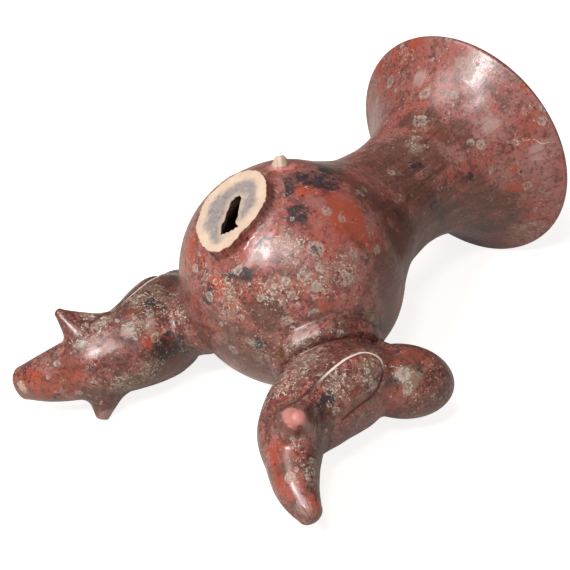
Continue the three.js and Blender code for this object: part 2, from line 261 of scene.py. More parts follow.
@dataclass(frozen=True)
class Resting:
    """How the standing vessel's frame lies in the row's frame."""

    centre: tuple[float, float, float] = (-21.786, -2.810, 67.622)  # the globe's centre, mm
    rise: float = 2.334  # degrees by which the axis climbs to the mouth
    up_azimuth: float = -49.90  # the side of the vessel that lies on top

    def axes(self) -> Array:
        """Rows of the row frame's X, Y and Z in the standing frame."""
        r, a = math.radians(self.rise), math.radians(self.up_azimuth)
        up = np.array([math.cos(r) * math.cos(a), math.cos(r) * math.sin(a), math.sin(r)])
        left = np.array([math.sin(a), -math.cos(a), 0.0])
        return np.stack([np.cross(left, up), left, up])

    def place(self, points: Array) -> Array:
        """Standing points in mm as row points in metres."""
        return (points @ self.axes().T + np.array(self.centre)) * MM

    def unplace(self, points: Array) -> Array:
        """Row points in metres as standing points in mm."""
        return (points / MM - np.array(self.centre)) @ self.axes()


RESTING = Resting()


@dataclass(frozen=True)
class Placement:
    """Where a foot goes: its azimuth, its size about its root and its lean about its tail."""

    azimuth: float
    size: float = 1.0
    lean: float = 0.0
    root: tuple[float, float, float] = (57.591, 0.0, -33.25)
    stand: float = -127.3

    def turn(self) -> Array:
        """Rotation from the foot's own frame to the standing frame."""
        a, b = math.radians(self.azimuth), math.radians(self.lean)
        about_axis = np.array([[math.cos(a), -math.sin(a), 0], [math.sin(a), math.cos(a), 0], [0, 0, 1]])
        sideways = np.array([[1, 0, 0], [0, math.cos(b), -math.sin(b)], [0, math.sin(b), math.cos(b)]])
        return about_axis @ sideways

    def pivot(self) -> Array:
        """The point on the plane of standing about which the foot leans."""
        return np.array([0.0, 0.0, self.stand])

    def to_vessel(self, points: Array) -> Array:
        """Points in the foot's own frame as standing points."""
        root = np.array(self.root)
        sized = (points - root) * self.size + root
        return (sized - self.pivot()) @ self.turn().T + self.pivot()

    def from_vessel(self, points: Array) -> Array:
        """Standing points as points in the foot's own frame."""
        root = np.array(self.root)
        sized = (points - self.pivot()) @ self.turn() + self.pivot()
        return (sized - root) / self.size + root

    def seat(self) -> tuple[float, float]:
        """Azimuth and polar angle of the root on the globe, in degrees."""
        p = self.to_vessel(np.array([self.root]))[0]
        return (
            math.degrees(math.atan2(p[1], p[0])),
            math.degrees(math.acos(-p[2] / np.linalg.norm(p))),
        )


# Meshes


@dataclass(frozen=True)
class SurfaceNets:
    """Turns a distance field into a closed mesh of even quads."""

    step: float
    coarse: int = 4

    def sample(self, clay: Field, low: Array, shape: tuple[int, int, int]) -> Array:
        """Fill a grid, working out fine values only in blocks that the skin may cross.

        Args:
            clay: The distance field, in mm.
            low: The grid's lowest corner.
            shape: Blocks of coarse cells along each axis.

        Returns:
            Field values at the fine grid points.
        """
        n = self.coarse
        big = self.step * n
        corners = np.stack(np.meshgrid(*(np.arange(s + 1) for s in shape), indexing="ij"), -1)
        rough = self.evaluate(clay, low + corners.reshape(-1, 3) * big).reshape(corners.shape[:3])
        near = np.zeros(shape, bool)
        for dx in (0, 1):
            for dy in (0, 1):
                for dz in (0, 1):
                    part = rough[dx : dx + shape[0], dy : dy + shape[1], dz : dz + shape[2]]
                    near |= np.abs(part) < big * 1.9
        fine = np.repeat(np.repeat(np.repeat(rough[:-1, :-1, :-1], n, 0), n, 1), n, 2)
        blocks = np.argwhere(near)
        inner = np.stack(np.meshgrid(*(np.arange(n),) * 3, indexing="ij"), -1).reshape(-1, 3)
        index = (blocks[:, None, :] * n + inner[None]).reshape(-1, 3)
        values = self.evaluate(clay, low + index * self.step)
        fine[index[:, 0], index[:, 1], index[:, 2]] = values
        return fine

    @staticmethod
    def evaluate(clay: Field, points: Array) -> Array:
        """Field values at many points, in batches that stay small in memory."""
        return np.concatenate([clay(part) for part in np.array_split(points, len(points) // 60000 + 1)])

    def build(self, clay: Field, low: Sequence[float], high: Sequence[float]) -> tuple[Array, Array]:
        """Make the mesh.

        Args:
            clay: The distance field, in mm.
            low: A corner below the body on every axis.
            high: A corner above the body on every axis.

        Returns:
            Points, and quads that point outwards.
        """
        low, high = np.asarray(low, float), np.asarray(high, float)
        shape = tuple(int(v) for v in np.ceil((high - low) / (self.step * self.coarse)))
        values = self.sample(clay, low, shape)
        inside = values < 0
        total = np.zeros((*(s - 1 for s in values.shape), 3), np.float32)
        count = np.zeros(total.shape[:3], np.int16)
        quads = []
        numbers = np.full(total.shape[:3], -1, np.int64)
        crossings = []
        for axis in range(3):
            a = [slice(None)] * 3
            b = [slice(None)] * 3
            a[axis], b[axis] = slice(0, -1), slice(1, None)
            changed = inside[tuple(a)] != inside[tuple(b)]
            at = np.argwhere(changed)
            others = [(axis + 1) % 3, (axis + 2) % 3]
            room = (at[:, others] > 0).all(1) & (at[:, others] < np.array(total.shape)[others]).all(1)
            at = at[room]
            ahead = at.copy()
            ahead[:, axis] += 1
            f0, f1 = values[tuple(at.T)], values[tuple(ahead.T)]
            where = at.astype(np.float32)
            where[:, axis] += f0 / (f0 - f1)
            cells = []
            for db, dc in ((0, 0), (1, 0), (1, 1), (0, 1)):
                cell = at.copy()
                cell[:, others[0]] -= db
                cell[:, others[1]] -= dc
                cells.append(cell)
                np.add.at(total, tuple(cell.T), where)
                np.add.at(count, tuple(cell.T), 1)
            crossings.append((cells, f0 < 0))
        used = np.argwhere(count > 0)
        numbers[tuple(used.T)] = np.arange(len(used))
        points = total[tuple(used.T)] / count[tuple(used.T)][:, None]
        for cells, outward in crossings:
            quad = np.stack([numbers[tuple(cell.T)] for cell in cells], 1)
            quad[~outward] = quad[~outward][:, ::-1]
            quads.append(quad)
        return self.settle(clay, low + points * self.step), np.concatenate(quads)

    def settle(self, clay: Field, points: Array) -> Array:
        """Move mesh points onto the skin along the field's slope.

        Args:
            clay: The distance field, in mm.
            points: Points near the skin.

        Returns:
            The moved points.
        """
        reach = self.step * 0.2
        for _ in range(2):
            value = self.evaluate(clay, points)
            rises = [
                self.evaluate(clay, points + shift) - self.evaluate(clay, points - shift)
                for shift in np.eye(3) * reach
            ]
            slope = np.stack(rises, 1) / (2 * reach)
            length = np.maximum((slope**2).sum(1), 0.2)
            move = slope * (value / length)[:, None]
            far = np.linalg.norm(move, axis=1)
            move *= np.minimum(1.0, self.step * 0.6 / np.maximum(far, 1e-9))[:, None]
            points = points - move
        return points


def make_object(name: str, points: Array, faces: Array, *finishes: Material) -> Object:
    """Put a mesh in the scene at the origin, with its place in its points.

    Args:
        name: The piece's name.
        points: Standing points in mm.
        faces: Corner numbers of each face.
        finishes: The mesh's materials, in order.

    Returns:
        The new object, shaded smooth.
    """
    mesh = bpy.data.meshes.new(name)
    mesh.from_pydata(RESTING.place(points).tolist(), [], faces.tolist())
    mesh.validate()
    mesh.polygons.foreach_set("use_smooth", np.ones(len(mesh.polygons), bool))
    mesh.update()
    for finish in finishes:
        mesh.materials.append(finish)
    return add_object(name, mesh)


def add_object(name: str, data: bpy.types.ID) -> Object:
    """Put a mesh, curve, lamp or camera in the scene."""
    made = bpy.data.objects.new(name, data)
    bpy.context.scene.collection.objects.link(made)
    return made


def mesh_points(piece: Object) -> Array:
    """The points of a piece's mesh in the standing frame, in mm."""
    co = np.empty(len(piece.data.vertices) * 3, np.float32)
    piece.data.vertices.foreach_get("co", co)
    return RESTING.unplace(co.reshape(-1, 3).astype(float))


# Weathering, with painted sheen and painted shade among the stains


class Stain(Enum):
    """What the fire, the ground and handling left on the slip, and painted sheen and shade. Each is stored on
    the mesh by its name.
    """

    OCHRE = "ochre"  # slip that fired orange
    SOOT = "soot"  # black fire clouds
    HAZE = "haze"  # brown patches with streaks, partly painted shade laid on the shaded sides
    CRUST = "crust"  # lime from the ground
    SPOT = "spot"  # single ringed discs of lime
    DOT = "dot"  # black grains
    WORN = "worn"  # slip rubbed off down to pink clay
    BARE = "bare"  # slip worn through to cream clay
    BLOOM = "bloom"  # a pale lilac sheen painted where the highlights fall, on gloss that has partly dulled
    FILM = "film"  # a dull olive film of lime
    PIT = "pit"  # a hollow that holds ochre earth


Rows = tuple[tuple[float, ...], ...]
Box = tuple[tuple[float, float, float], tuple[float, float, float]]  # lowest and highest corner, mm

# The wall: azimuth in degrees, height and radius in mm
VESSEL_STAINS: dict[Stain, Rows] = {
    Stain.OCHRE: (
        (-30, 2, 9), (-12, 9, 16), (0, 5, 17), (49.5, 149, 5), (-81, -44, 10), (-89, -49, 12), (-45, -58, 9),
        (30, -33, 10), (49, 7, 16), (-100, 164, 9), (-20, 123, 7), (50, 149, 5), (36, 147, 5), (-46, 125, 5),
    ),
    Stain.SOOT: (
        (-37, -6, 11), (-36, 7, 11), (-27, 15, 15), (-33, 29, 12), (-21, -15, 11), (-2, -21, 5), (46, -58, 5),
        (-62, -61, 5), (28, -38, 4), (-28, -37, 8), (-50, -59, 7), (-35, -53, 6), (51, -58, 7), (-21, -51, 8),
        (33, 92, 8), (48, 97, 7), (-11, 94, 7), (28, 122, 6), (14, 55, 8),
    ),
    # Brown patches, partly painted shade on the shaded sides of the globe and the neck
    Stain.HAZE: (
        (34, 16, 14), (60, -8, 18), (24, 42, 30), (-24, 78, 26), (-24, 100, 20), (30, 16, 18), (-14, 36, 17),
        (-37, 36, 14), (80, -60, 24), (-18, 125, 12), (-37, 128, 9), (-52, 120, 10), (-10, 133, 9),
        (0, 131, 8), (-13, 106, 18), (14, 80, 28), (20, 55, 26), (49, 118, 24), (46, 6, 16), (33, 60, 18),
        (22, 46, 12), (75, 140, 26), (60, 90, 26), (-28, 80, 20), (14, -53, 12),
    ),
    Stain.CRUST: (
        (-38, -54, 9), (-12, -28, 10), (12, -28, 15), (-15, -59, 12), (4, -47, 13), (15, -12, 16),
        (-56, -58, 9), (-28, 108, 9), (-34, 158, 8), (-30, 155.5, 5), (-8, 149, 4), (83, 161, 14),
        (-84, -52, 10), (60, -57, 14),
    ),
    Stain.SPOT: (
        (5, -34, 3.6), (2, -41, 3), (14, -31, 3.6), (11, -42, 3), (1, -52, 2.6), (-32, -58, 2.4),
        (-56, -60.4, 3.6), (27, -48, 4.4), (28, -37, 4.2), (-2, -21, 5.6), (-13, -1, 3.8), (-6, 3, 3),
        (10, -4, 3.4), (90, -62, 4), (-78, -54, 3), (-90, 152, 5), (-52, 140, 4.6), (-38, 144, 3.8),
        (-31, 145, 3.6), (-41, 123, 5.6), (7, 160, 4.6), (3, 133, 3.4), (-110, 152, 3.4),
    ),
    Stain.DOT: ((13, 148, 9), (39, 147, 9), (44, 153, 9), (36, 132, 8)),
    Stain.WORN: ((-56, -12, 7), (-50, -9, 6), (-43, -4, 4), (-53, -17, 6)),
    # Painted sheen: pale lilac laid where the highlights fall on the globe and the mouth
    Stain.BLOOM: ((-25, -41, 11), (-31, -49, 9), (-21, -33, 8), (2, 146, 10), (30, 158, 9), (-60, 148, 9)),
    Stain.FILM: ((-31, 157, 7), (-38, 159, 6), (-22, 104, 7)),
}

# The two feet: place in the bird's own frame and radius, in mm
NEAR_STAINS: dict[Stain, Rows] = {
    Stain.OCHRE: (
        (98, -10, -118, 14), (83, -12, -109, 10), (90, -19, -24, 8), (101, -10, -36, 9), (101, 0, -39, 9),
        (95, -21, -15, 8), (116, -9, -118, 8),
    ),
    Stain.SOOT: (
        (84, -22, -70, 7), (85, -21, -77, 5), (113, -13, -26, 5), (103, -17, -17, 5), (101, -17, -33, 5),
        (57, -17, -86, 6),
    ),
    # Brown patches, partly painted shade
    Stain.HAZE: ((96, 0, -92, 18), (88, -14, -82, 12), (121, 0, -12, 16), (70, 24, -60, 30)),
    Stain.CRUST: (
        (104, -17, -30, 6), (56, -20, -60, 18), (57, -18, -69, 13), (57, -16, -79, 12), (57, -16, -58, 7),
        (88, -23, -45, 10), (88, -23, -38, 8), (84, -23, -62, 12), (101, -18, -27, 6), (107, -13, -29, 7),
        (90, -18, -99, 6), (104, -12, -105, 9),
    ),
    Stain.SPOT: ((100, -18, -26, 4.6), (107, -13, -30, 3.6), (84, -23, -50, 3), (52, -10, -60, 3)),
    Stain.DOT: ((95, -12, -112, 14),),
    Stain.WORN: ((87, -34, -97, 9), (83, -31, -101, 7), (79, -29, -96, 6)),
    # Painted sheen: pale lilac laid where the highlights fall on the collar, nub and tail
    Stain.BLOOM: ((46, -21, -49, 7), (50, -24, -42, 6), (76, -27, -99, 8), (114, -7, -122, 9)),
    Stain.FILM: ((104, -17, -22, 8), (110, -15, -28, 6)),
    Stain.PIT: ((40.2, -9.5, -57, 6.2),),
}
FAR_STAINS: dict[Stain, Rows] = {
    Stain.OCHRE: (
        (94, 1, -120, 17), (84, -5, -114, 12), (104, -5, -122, 12), (78, 4, -108, 12), (60, 21, -70, 7),
        (51, 4, -72, 8), (50, 3, -63, 7), (75, 34, -98, 7),
    ),
    Stain.SOOT: (
        (50, -3, -68, 11), (48, -8, -55, 11), (48, 0, -60, 9), (49, -2, -58, 7), (60, 21, -57, 6),
        (89, -8, -115, 5), (60, 0, -84, 6),
    ),
    # Brown patches, partly painted shade
    Stain.HAZE: ((62, -22, -80, 20), (54, -16, -66, 16), (76, -20, -104, 14), (70, 24, -60, 26)),
    Stain.CRUST: (
        (60, 24, -58, 20), (76, 26, -80, 16), (57, 18, -68, 11), (68, 21, -87, 9), (71, 20, -92, 9),
        (74, 18, -100, 8), (51, 6, -68, 9), (56, 16, -76, 9), (43, 13, -52, 9), (61, -13, -90, 12),
        (54, -12, -77, 12),
    ),
    Stain.SPOT: ((57, 16, -77, 4), (51, 5, -69, 3.4)),
    Stain.DOT: ((90, 4, -116, 14),),
    Stain.WORN: ((72, 3, -100, 5),),
    Stain.BARE: ((107, 0.5, -124, 6.5),),
    # Painted sheen: pale lilac laid where the highlights fall on the trunk
    Stain.BLOOM: ((57, 14, -80, 6), (61, 11, -90, 6), (67, 11, -98, 6), (54, 14, -66, 5), (80, -30, -97, 9)),
}


# Stains strewn over the hidden sides: kind, how many, smallest and largest radius in mm
Strewn = tuple[tuple[Stain, int, float, float], ...]
WALL_STREWN: Strewn = (
    (Stain.OCHRE, 22, 8.0, 16.0),
    (Stain.SOOT, 26, 6.0, 13.0),
    (Stain.HAZE, 16, 12.0, 26.0),
    (Stain.CRUST, 30, 6.0, 14.0),
    (Stain.SPOT, 60, 2.4, 4.8),
)
FOOT_STREWN: Strewn = (
    (Stain.OCHRE, 8, 6.0, 12.0),
    (Stain.SOOT, 8, 5.0, 10.0),
    (Stain.HAZE, 6, 10.0, 18.0),
    (Stain.CRUST, 14, 5.0, 11.0),
    (Stain.SPOT, 22, 2.0, 3.8),
)


@dataclass(frozen=True)
class Weathering:
    """The stains of one piece, those seen in the photograph and others strewn over its hidden sides."""

    stains: dict[Stain, Array]  # rows of a place in the standing frame and a radius, mm
    seed: int
    strewn: Strewn
    least_gap: float = 4.0  # mm between a placed stain and a strewn one

    @classmethod
    def placed(
        cls, stains: dict[Stain, Rows], place: Callable[[Array], Array], seed: int, strewn: Strewn
    ) -> Weathering:
        """The stains of a piece whose places are written in its own frame.

        Args:
            stains: Rows of place and radius for each kind.
            place: Turns places into standing points.
            seed: Seed of the strewn stains.
            strewn: What is strewn.

        Returns:
            The weathering.
        """
        rows = {}
        for kind, marks in stains.items():
            table = np.array(marks, float)
            rows[kind] = np.column_stack([place(table[:, :-1]), table[:, -1]])
        return cls(rows, seed, strewn)

    def all_stains(self, points: Array, weight: Array) -> dict[Stain, Array]:
        """Strew more stains where none was placed.

        Args:
            points: Places that a stain may take.
            weight: How likely each place is.

        Returns:
            Rows of place and radius for each kind.
        """
        draw = np.random.default_rng(self.seed)
        placed = np.concatenate([rows for rows in self.stains.values() if len(rows)])
        result = {}
        for kind, count, least, most in self.strewn:
            where = points[draw.choice(len(points), count, p=weight / weight.sum())]
            radius = draw.uniform(least, most, count)
            gap = np.linalg.norm(where[:, None] - placed[None, :, :3], axis=2) - placed[None, :, 3]
            free = gap.min(1) > radius + self.least_gap
            result[kind] = np.column_stack([where, radius])[free]
        for kind in Stain:
            rows = [r for r in (self.stains.get(kind), result.get(kind)) if r is not None and len(r)]
            result[kind] = np.concatenate(rows) if rows else np.zeros((0, 4))
        return result

    def paint(self, piece: Object, weight: Array | None = None) -> None:
        """Store the stains on a piece's mesh.

        Args:
            piece: The piece.
            weight: How likely a strewn stain is at each point of the mesh.
        """
        points = mesh_points(piece)
        chance = np.ones(len(points)) if weight is None else weight
        for kind, rows in self.all_stains(points, chance).items():
            value = np.full(len(points), -1.0 if kind is Stain.SPOT else 0.0)
            for *place, radius in rows:
                share = np.linalg.norm(points - np.array(place), axis=1) / radius
                if kind is Stain.SPOT:
                    value = np.maximum(value, 1.0 - share)
                else:
                    value = 1.0 - (1.0 - value) * (1.0 - smoothstep(share, 1.15, 0.3))
            set_attribute(piece, kind.value, value)


# The vessel's wall


# Lines of the crack in the mouth, each corner by azimuth in degrees and height in mm
CRACKS: dict[str, tuple[tuple[float, float], ...]] = {
    "crack_long": ((20.3, 154.1), (21.6, 158.3), (26.0, 160.7), (26.8, 165.6)),
    "crack_branch": ((22.6, 150.8), (28.5, 149.8), (40.8, 149.7)),
}
CRACK_REACH = 10.0  # mm from a crack's ends at which its stored closeness falls to 0
SWEEP_RADIUS = 10.0  # mm; the section is swept on a circle of this radius
SEAM_AT = 5.5  # mm from a foot's body, where its fillet has just met the globe


def hand_wobble(points: Array) -> Array:
    """How far the hand-built wall stands proud of its true form, in mm, at standing points."""
    x, y, z = points.T
    slow = np.sin(x / 19 + 1.3) * np.sin(y / 23 + 0.4) * np.sin(z / 27 + 2.1)
    quick = np.sin(x / 8.1 + 0.2) * np.sin(y / 9.3 + 2.2) * np.sin(z / 11 + 0.9)
    return 0.32 * slow + 0.07 * quick


@dataclass
class VesselWall:
    """Globe, neck and flared mouth, one wall of revolution with the unevenness of handwork."""

    radius: float = 66.5
    depth: float = 63.5
    neck_height: float = 97.0
    rim_height: float = 165.7
    thickness: float = 6.2
    lip: float = 4.6
    around: int = 264
    upper: tuple[tuple[float, float], ...] = (
        (66.5, 0.0), (62.2, 23.3), (49.8, 45.0), (40.6, 64.5), (37.2, 82.0), (36.3, 97.0), (38.6, 115.0),
        (45.4, 134.0), (58.5, 151.5), (75.1, 165.7),
    )
    rim_wave: tuple[float, ...] = (0.0, 0.0, -1.59, 1.25, -0.1, -0.79)  # cos and sin of 1, 2 and 3 waves
    rim_tilt: tuple[float, ...] = (2.43, 1.0, 0.18, 1.37, 0.0, 0.0)
    seam_sink: float = 0.05  # how steeply the wall dips under a foot's skin
    deepest_dip: float = 0.8  # mm
    stroke_radius: float = 52.0  # mm; the polishing strokes are mapped on a cylinder of this radius
    stroke_stretch: float = 9.0  # how much longer than wide the strokes are

    def outer_profile(self) -> Array:
        """Radius and height of the outer skin, from the underside's pole to the lip."""
        turn = np.linspace(-math.pi / 2, 0, 60)
        bowl = np.stack([self.radius * np.cos(turn), self.depth * np.sin(turn)], 1)
        bowl[0, 0] = 0.0
        return np.concatenate([bowl[:-1], catmull_rom(self.upper, 13)])

    def closed_profile(self) -> Array:
        """The wall's whole section: outer skin, rounded lip and inner skin, ending on the axis."""
        outer = self.outer_profile()
        along = unit_rows(np.gradient(outer, axis=0))
        out = np.stack([along[:, 1], -along[:, 0]], 1)
        share = smoothstep(outer[:, 1], self.neck_height, self.rim_height)
        thick = self.thickness + (self.lip - self.thickness) * share
        inner = (outer - out * thick[:, None])[::-2]
        middle = (outer[-1] + inner[0]) / 2
        half = outer[-1] - middle
        ahead = np.array([-half[1], half[0]])
        turn = np.linspace(0, math.pi, 12)[1:-1, None]
        lip = middle + half * np.cos(turn) + ahead * np.sin(turn) * 0.8
        inner[-1, 0] = 0.0
        if inner[-1, 1] > inner[-2, 1]:
            inner[-1, 1] = inner[-2, 1]
        return np.concatenate([outer, lip, inner])

    def distance(self, points: Array) -> Array:
        """Distance from standing points to the outer skin, below the neck.

        Args:
            points: Standing points in mm.

        Returns:
            Signed distances, below 0 within the globe.
        """
        radial = np.hypot(points[:, 0], points[:, 1])
        z = points[:, 2]
        profile = catmull_rom(self.upper, 40)
        profile = profile[profile[:, 1] < self.neck_height]
        wide = np.interp(z, profile[:, 1], profile[:, 0])
        slope = np.interp(z, profile[:, 1], np.gradient(profile[:, 0], profile[:, 1]))
        above = (radial - wide) / np.sqrt(1 + slope**2)
        flat = np.stack([radial, z], 1)
        below = ellipsoid_distance(flat, np.array([self.radius, self.depth]))
        return np.where(z < 0, below, above) - hand_wobble(points)

    @staticmethod
    def wave(amounts: Sequence[float], azimuth: Array) -> Array:
        """Sum of the first three waves round the mouth."""
        total = np.zeros_like(azimuth)
        for i, amount in enumerate(amounts):
            turn = azimuth * (i // 2 + 1)
            total += amount * (np.sin(turn) if i % 2 else np.cos(turn))
        return total

    def sweep_tree(self, profile: Object, clay: Material) -> Tree:
        """Geometry nodes that sweep the wall's section once round the vessel's axis.

        Args:
            profile: A curve that holds the section, less the sweep's own radius.
            clay: The material of the wall.

        Returns:
            The node tree.
        """
        tree = bpy.data.node_groups.new("sweep_wall", "GeometryNodeTree")
        tree.interface.new_socket("Geometry", in_out="INPUT", socket_type="NodeSocketGeometry")
        around = tree.interface.new_socket("Around", in_out="INPUT", socket_type="NodeSocketInt")
        around.default_value = self.around
        radius = tree.interface.new_socket("Sweep Radius", in_out="INPUT", socket_type="NodeSocketFloat")
        radius.default_value = SWEEP_RADIUS * MM
        tree.interface.new_socket("Geometry", in_out="OUTPUT", socket_type="NodeSocketGeometry")
        entry = add_node(tree, "NodeGroupInput")
        ring = add_node(
            tree,
            "GeometryNodeCurvePrimitiveCircle",
            links={"Resolution": entry.outputs["Around"], "Radius": entry.outputs["Sweep Radius"]},
        )
        upright = add_node(
            tree, "GeometryNodeSetCurveNormal", {"mode": "Z_UP"}, {"Curve": ring.outputs["Curve"]}
        )
        section = add_node(tree, "GeometryNodeObjectInfo", inputs={"Object": profile})
        skin = add_node(
            tree,
            "GeometryNodeCurveToMesh",
            links={"Curve": upright.outputs[0], "Profile Curve": section.outputs["Geometry"]},
        )
        welded = add_node(
            tree,
            "GeometryNodeMergeByDistance",
            links={"Geometry": skin.outputs[0]},
            inputs={"Distance": 0.05 * MM},
        )
        real = add_node(tree, "GeometryNodeRealizeInstances", links={"Geometry": welded.outputs[0]})
        dressed = add_node(
            tree, "GeometryNodeSetMaterial", links={"Geometry": real.outputs[0]}, inputs={"Material": clay}
        )
        add_node(tree, "NodeGroupOutput", links={"Geometry": dressed.outputs[0]})
        return tree

    def build(self, clay: Material, birds: Sequence[Bird], stump: BrokenRoot) -> Object:
        """Make the wall.

        Args:
            clay: The material of the wall.
            birds: The feet, under whose skins the wall dips.
            stump: The broken root, which the slit in the wall belongs to.

        Returns:
            The wall's object.
        """
        section = self.closed_profile()
        curve = bpy.data.curves.new("wall_section", "CURVE")
        curve.dimensions = "3D"
        spline = curve.splines.new("POLY")
        spline.points.add(len(section) - 1)
        for point, (r, z) in zip(spline.points, section):
            point.co = ((r - SWEEP_RADIUS) * MM, -z * MM, 0.0, 1.0)
        profile = add_object("wall_section", curve)
        host = add_object("wall_host", bpy.data.meshes.new("wall_host"))
        modifier = host.modifiers.new("sweep", "NODES")
        modifier.node_group = self.sweep_tree(profile, clay)
        mesh = bpy.data.meshes.new_from_object(host.evaluated_get(bpy.context.evaluated_depsgraph_get()))
        points = np.empty(len(mesh.vertices) * 3, np.float32)
        mesh.vertices.foreach_get("co", points)
        faces = [tuple(p.vertices) for p in mesh.polygons]
        for scrap in (host, profile):
            bpy.data.objects.remove(scrap)
        bpy.data.meshes.remove(mesh)
        points = points.reshape(-1, 3).astype(float) / MM
        moved = self.uneven(points, birds, stump)
        wall = make_object("vessel_wall", moved, np.array(faces, dtype=object), clay)
        face_outwards(wall)
        return wall

    def uneven(self, points: Array, birds: Sequence[Bird], stump: BrokenRoot) -> Array:
        """Give the true form its handwork: a warped mouth, a wobbling skin and dips under the feet.

        Args:
            points: Standing points of the true form, in mm.
            birds: The feet.
            stump: The broken root.

        Returns:
            The moved points.
        """
        radial = np.hypot(points[:, 0], points[:, 1])
        azimuth = np.arctan2(points[:, 1], points[:, 0])
        share = smoothstep(points[:, 2], self.neck_height, self.rim_height)
        safe = np.maximum(radial, 1e-6)
        wide = radial + share * self.wave(self.rim_wave, azimuth)
        moved = points.copy()
        moved[:, 0] *= wide / safe
        moved[:, 1] *= wide / safe
        moved[:, 2] += share * self.wave(self.rim_tilt, azimuth)
        outer = np.minimum(polyline_distance(np.stack([radial, points[:, 2]], 1), self.outer_profile()), 9.0)
        out = self.outward(points)
        on_skin = smoothstep(outer, 3.0, 0.5)
        moved += out * (hand_wobble(points) * on_skin)[:, None]
        low = points[:, 2] < 60
        skin = moved[low]
        dip = np.zeros(len(skin))
        for body in (*birds, stump):
            near = body.reach(skin)
            dip = np.maximum(dip, np.clip((SEAM_AT - near) * self.seam_sink, 0.0, self.deepest_dip))
        moved[low] = skin - out[low] * (dip * on_skin[low])[:, None]
        return moved

    def sunk(self, globe: Array, body: Array, seam: float) -> Array:
        """Let the globe's skin dip under the wall, away from a body that grows out of it.

        Args:
            globe: Distances to the globe.
            body: Distances to the body.
            seam: Distance from the body at which the dip starts.

        Returns:
            Distances to the dipping globe.
        """
        return globe + np.clip((body - seam) * self.seam_sink, 0.0, 0.5)

    def on_skin(self, azimuth: float, height: float) -> Array:
        """The point of the outer skin at an azimuth in degrees and a height in mm."""
        profile = self.outer_profile()
        radial = np.interp(height, profile[:, 1], profile[:, 0])
        a = math.radians(azimuth)
        return np.array([radial * math.cos(a), radial * math.sin(a), height])

    def dress(self, wall: Object, stains: dict[Stain, Rows], seed: int) -> None:
        """Store what the finish needs on the wall's mesh.

        Args:
            wall: The wall's object.
            stains: Stains by azimuth, height and radius.
            seed: Seed of the stains on the hidden sides.
        """
        points = mesh_points(wall)
        azimuth = np.arctan2(points[:, 1], points[:, 0])
        radial = np.hypot(points[:, 0], points[:, 1])
        share = smoothstep(points[:, 2], self.neck_height, self.rim_height)
        radial = radial - share * self.wave(self.rim_wave, azimuth)
        height = points[:, 2] - share * self.wave(self.rim_tilt, azimuth)
        profile = self.outer_profile()
        from_skin = polyline_distance(np.stack([radial, height], 1), profile)
        inside = smoothstep(from_skin, 2.0, 3.6)
        set_attribute(wall, "inner", inside * (self.rim_height - height))
        set_attribute(wall, "aged", 0.5 * smoothstep(-points[:, 2], 4.0, 40.0))
        run = np.concatenate([[0.0], np.cumsum(np.linalg.norm(np.diff(profile, axis=0), axis=1))])
        along = np.interp(height, profile[:, 1], run)
        turned = (self.stroke_radius * np.cos(azimuth), self.stroke_radius * np.sin(azimuth))
        set_attribute(wall, "burnish", np.stack([*turned, along / self.stroke_stretch], 1))
        for name, places in CRACKS.items():
            line = np.array([self.on_skin(*place) for place in places])
            beside = beside_line(points, line, self.outward(line))
            beside[:, 1] = np.maximum(CRACK_REACH - beside[:, 1], 0.0)
            set_attribute(wall, name, beside)

        def on_skin(places: Array) -> Array:
            """Standing points for rows of azimuth and height."""
            return np.array([self.on_skin(*place) for place in places])

        Weathering.placed(stains, on_skin, seed, WALL_STREWN).paint(wall, radial)

    def outward(self, points: Array) -> Array:
        """Directions square to the outer skin at standing points near the wall."""
        radial = np.hypot(points[:, 0], points[:, 1])
        profile = self.outer_profile()
        along = unit_rows(np.gradient(profile, axis=0))
        heights = profile[:, 1]
        rise = np.interp(points[:, 2], heights, along[:, 0])
        climb = np.interp(points[:, 2], heights, along[:, 1])
        safe = np.maximum(radial, 1e-6)
        return np.stack([climb * points[:, 0] / safe, climb * points[:, 1] / safe, -rise], 1)


def face_outwards(piece: Object) -> None:
    """Turn every face of a closed piece outwards."""
    shape = bmesh.new()
    shape.from_mesh(piece.data)
    bmesh.ops.recalc_face_normals(shape, faces=shape.faces)
    shape.to_mesh(piece.data)
    shape.free()
    piece.data.update()


# Feet


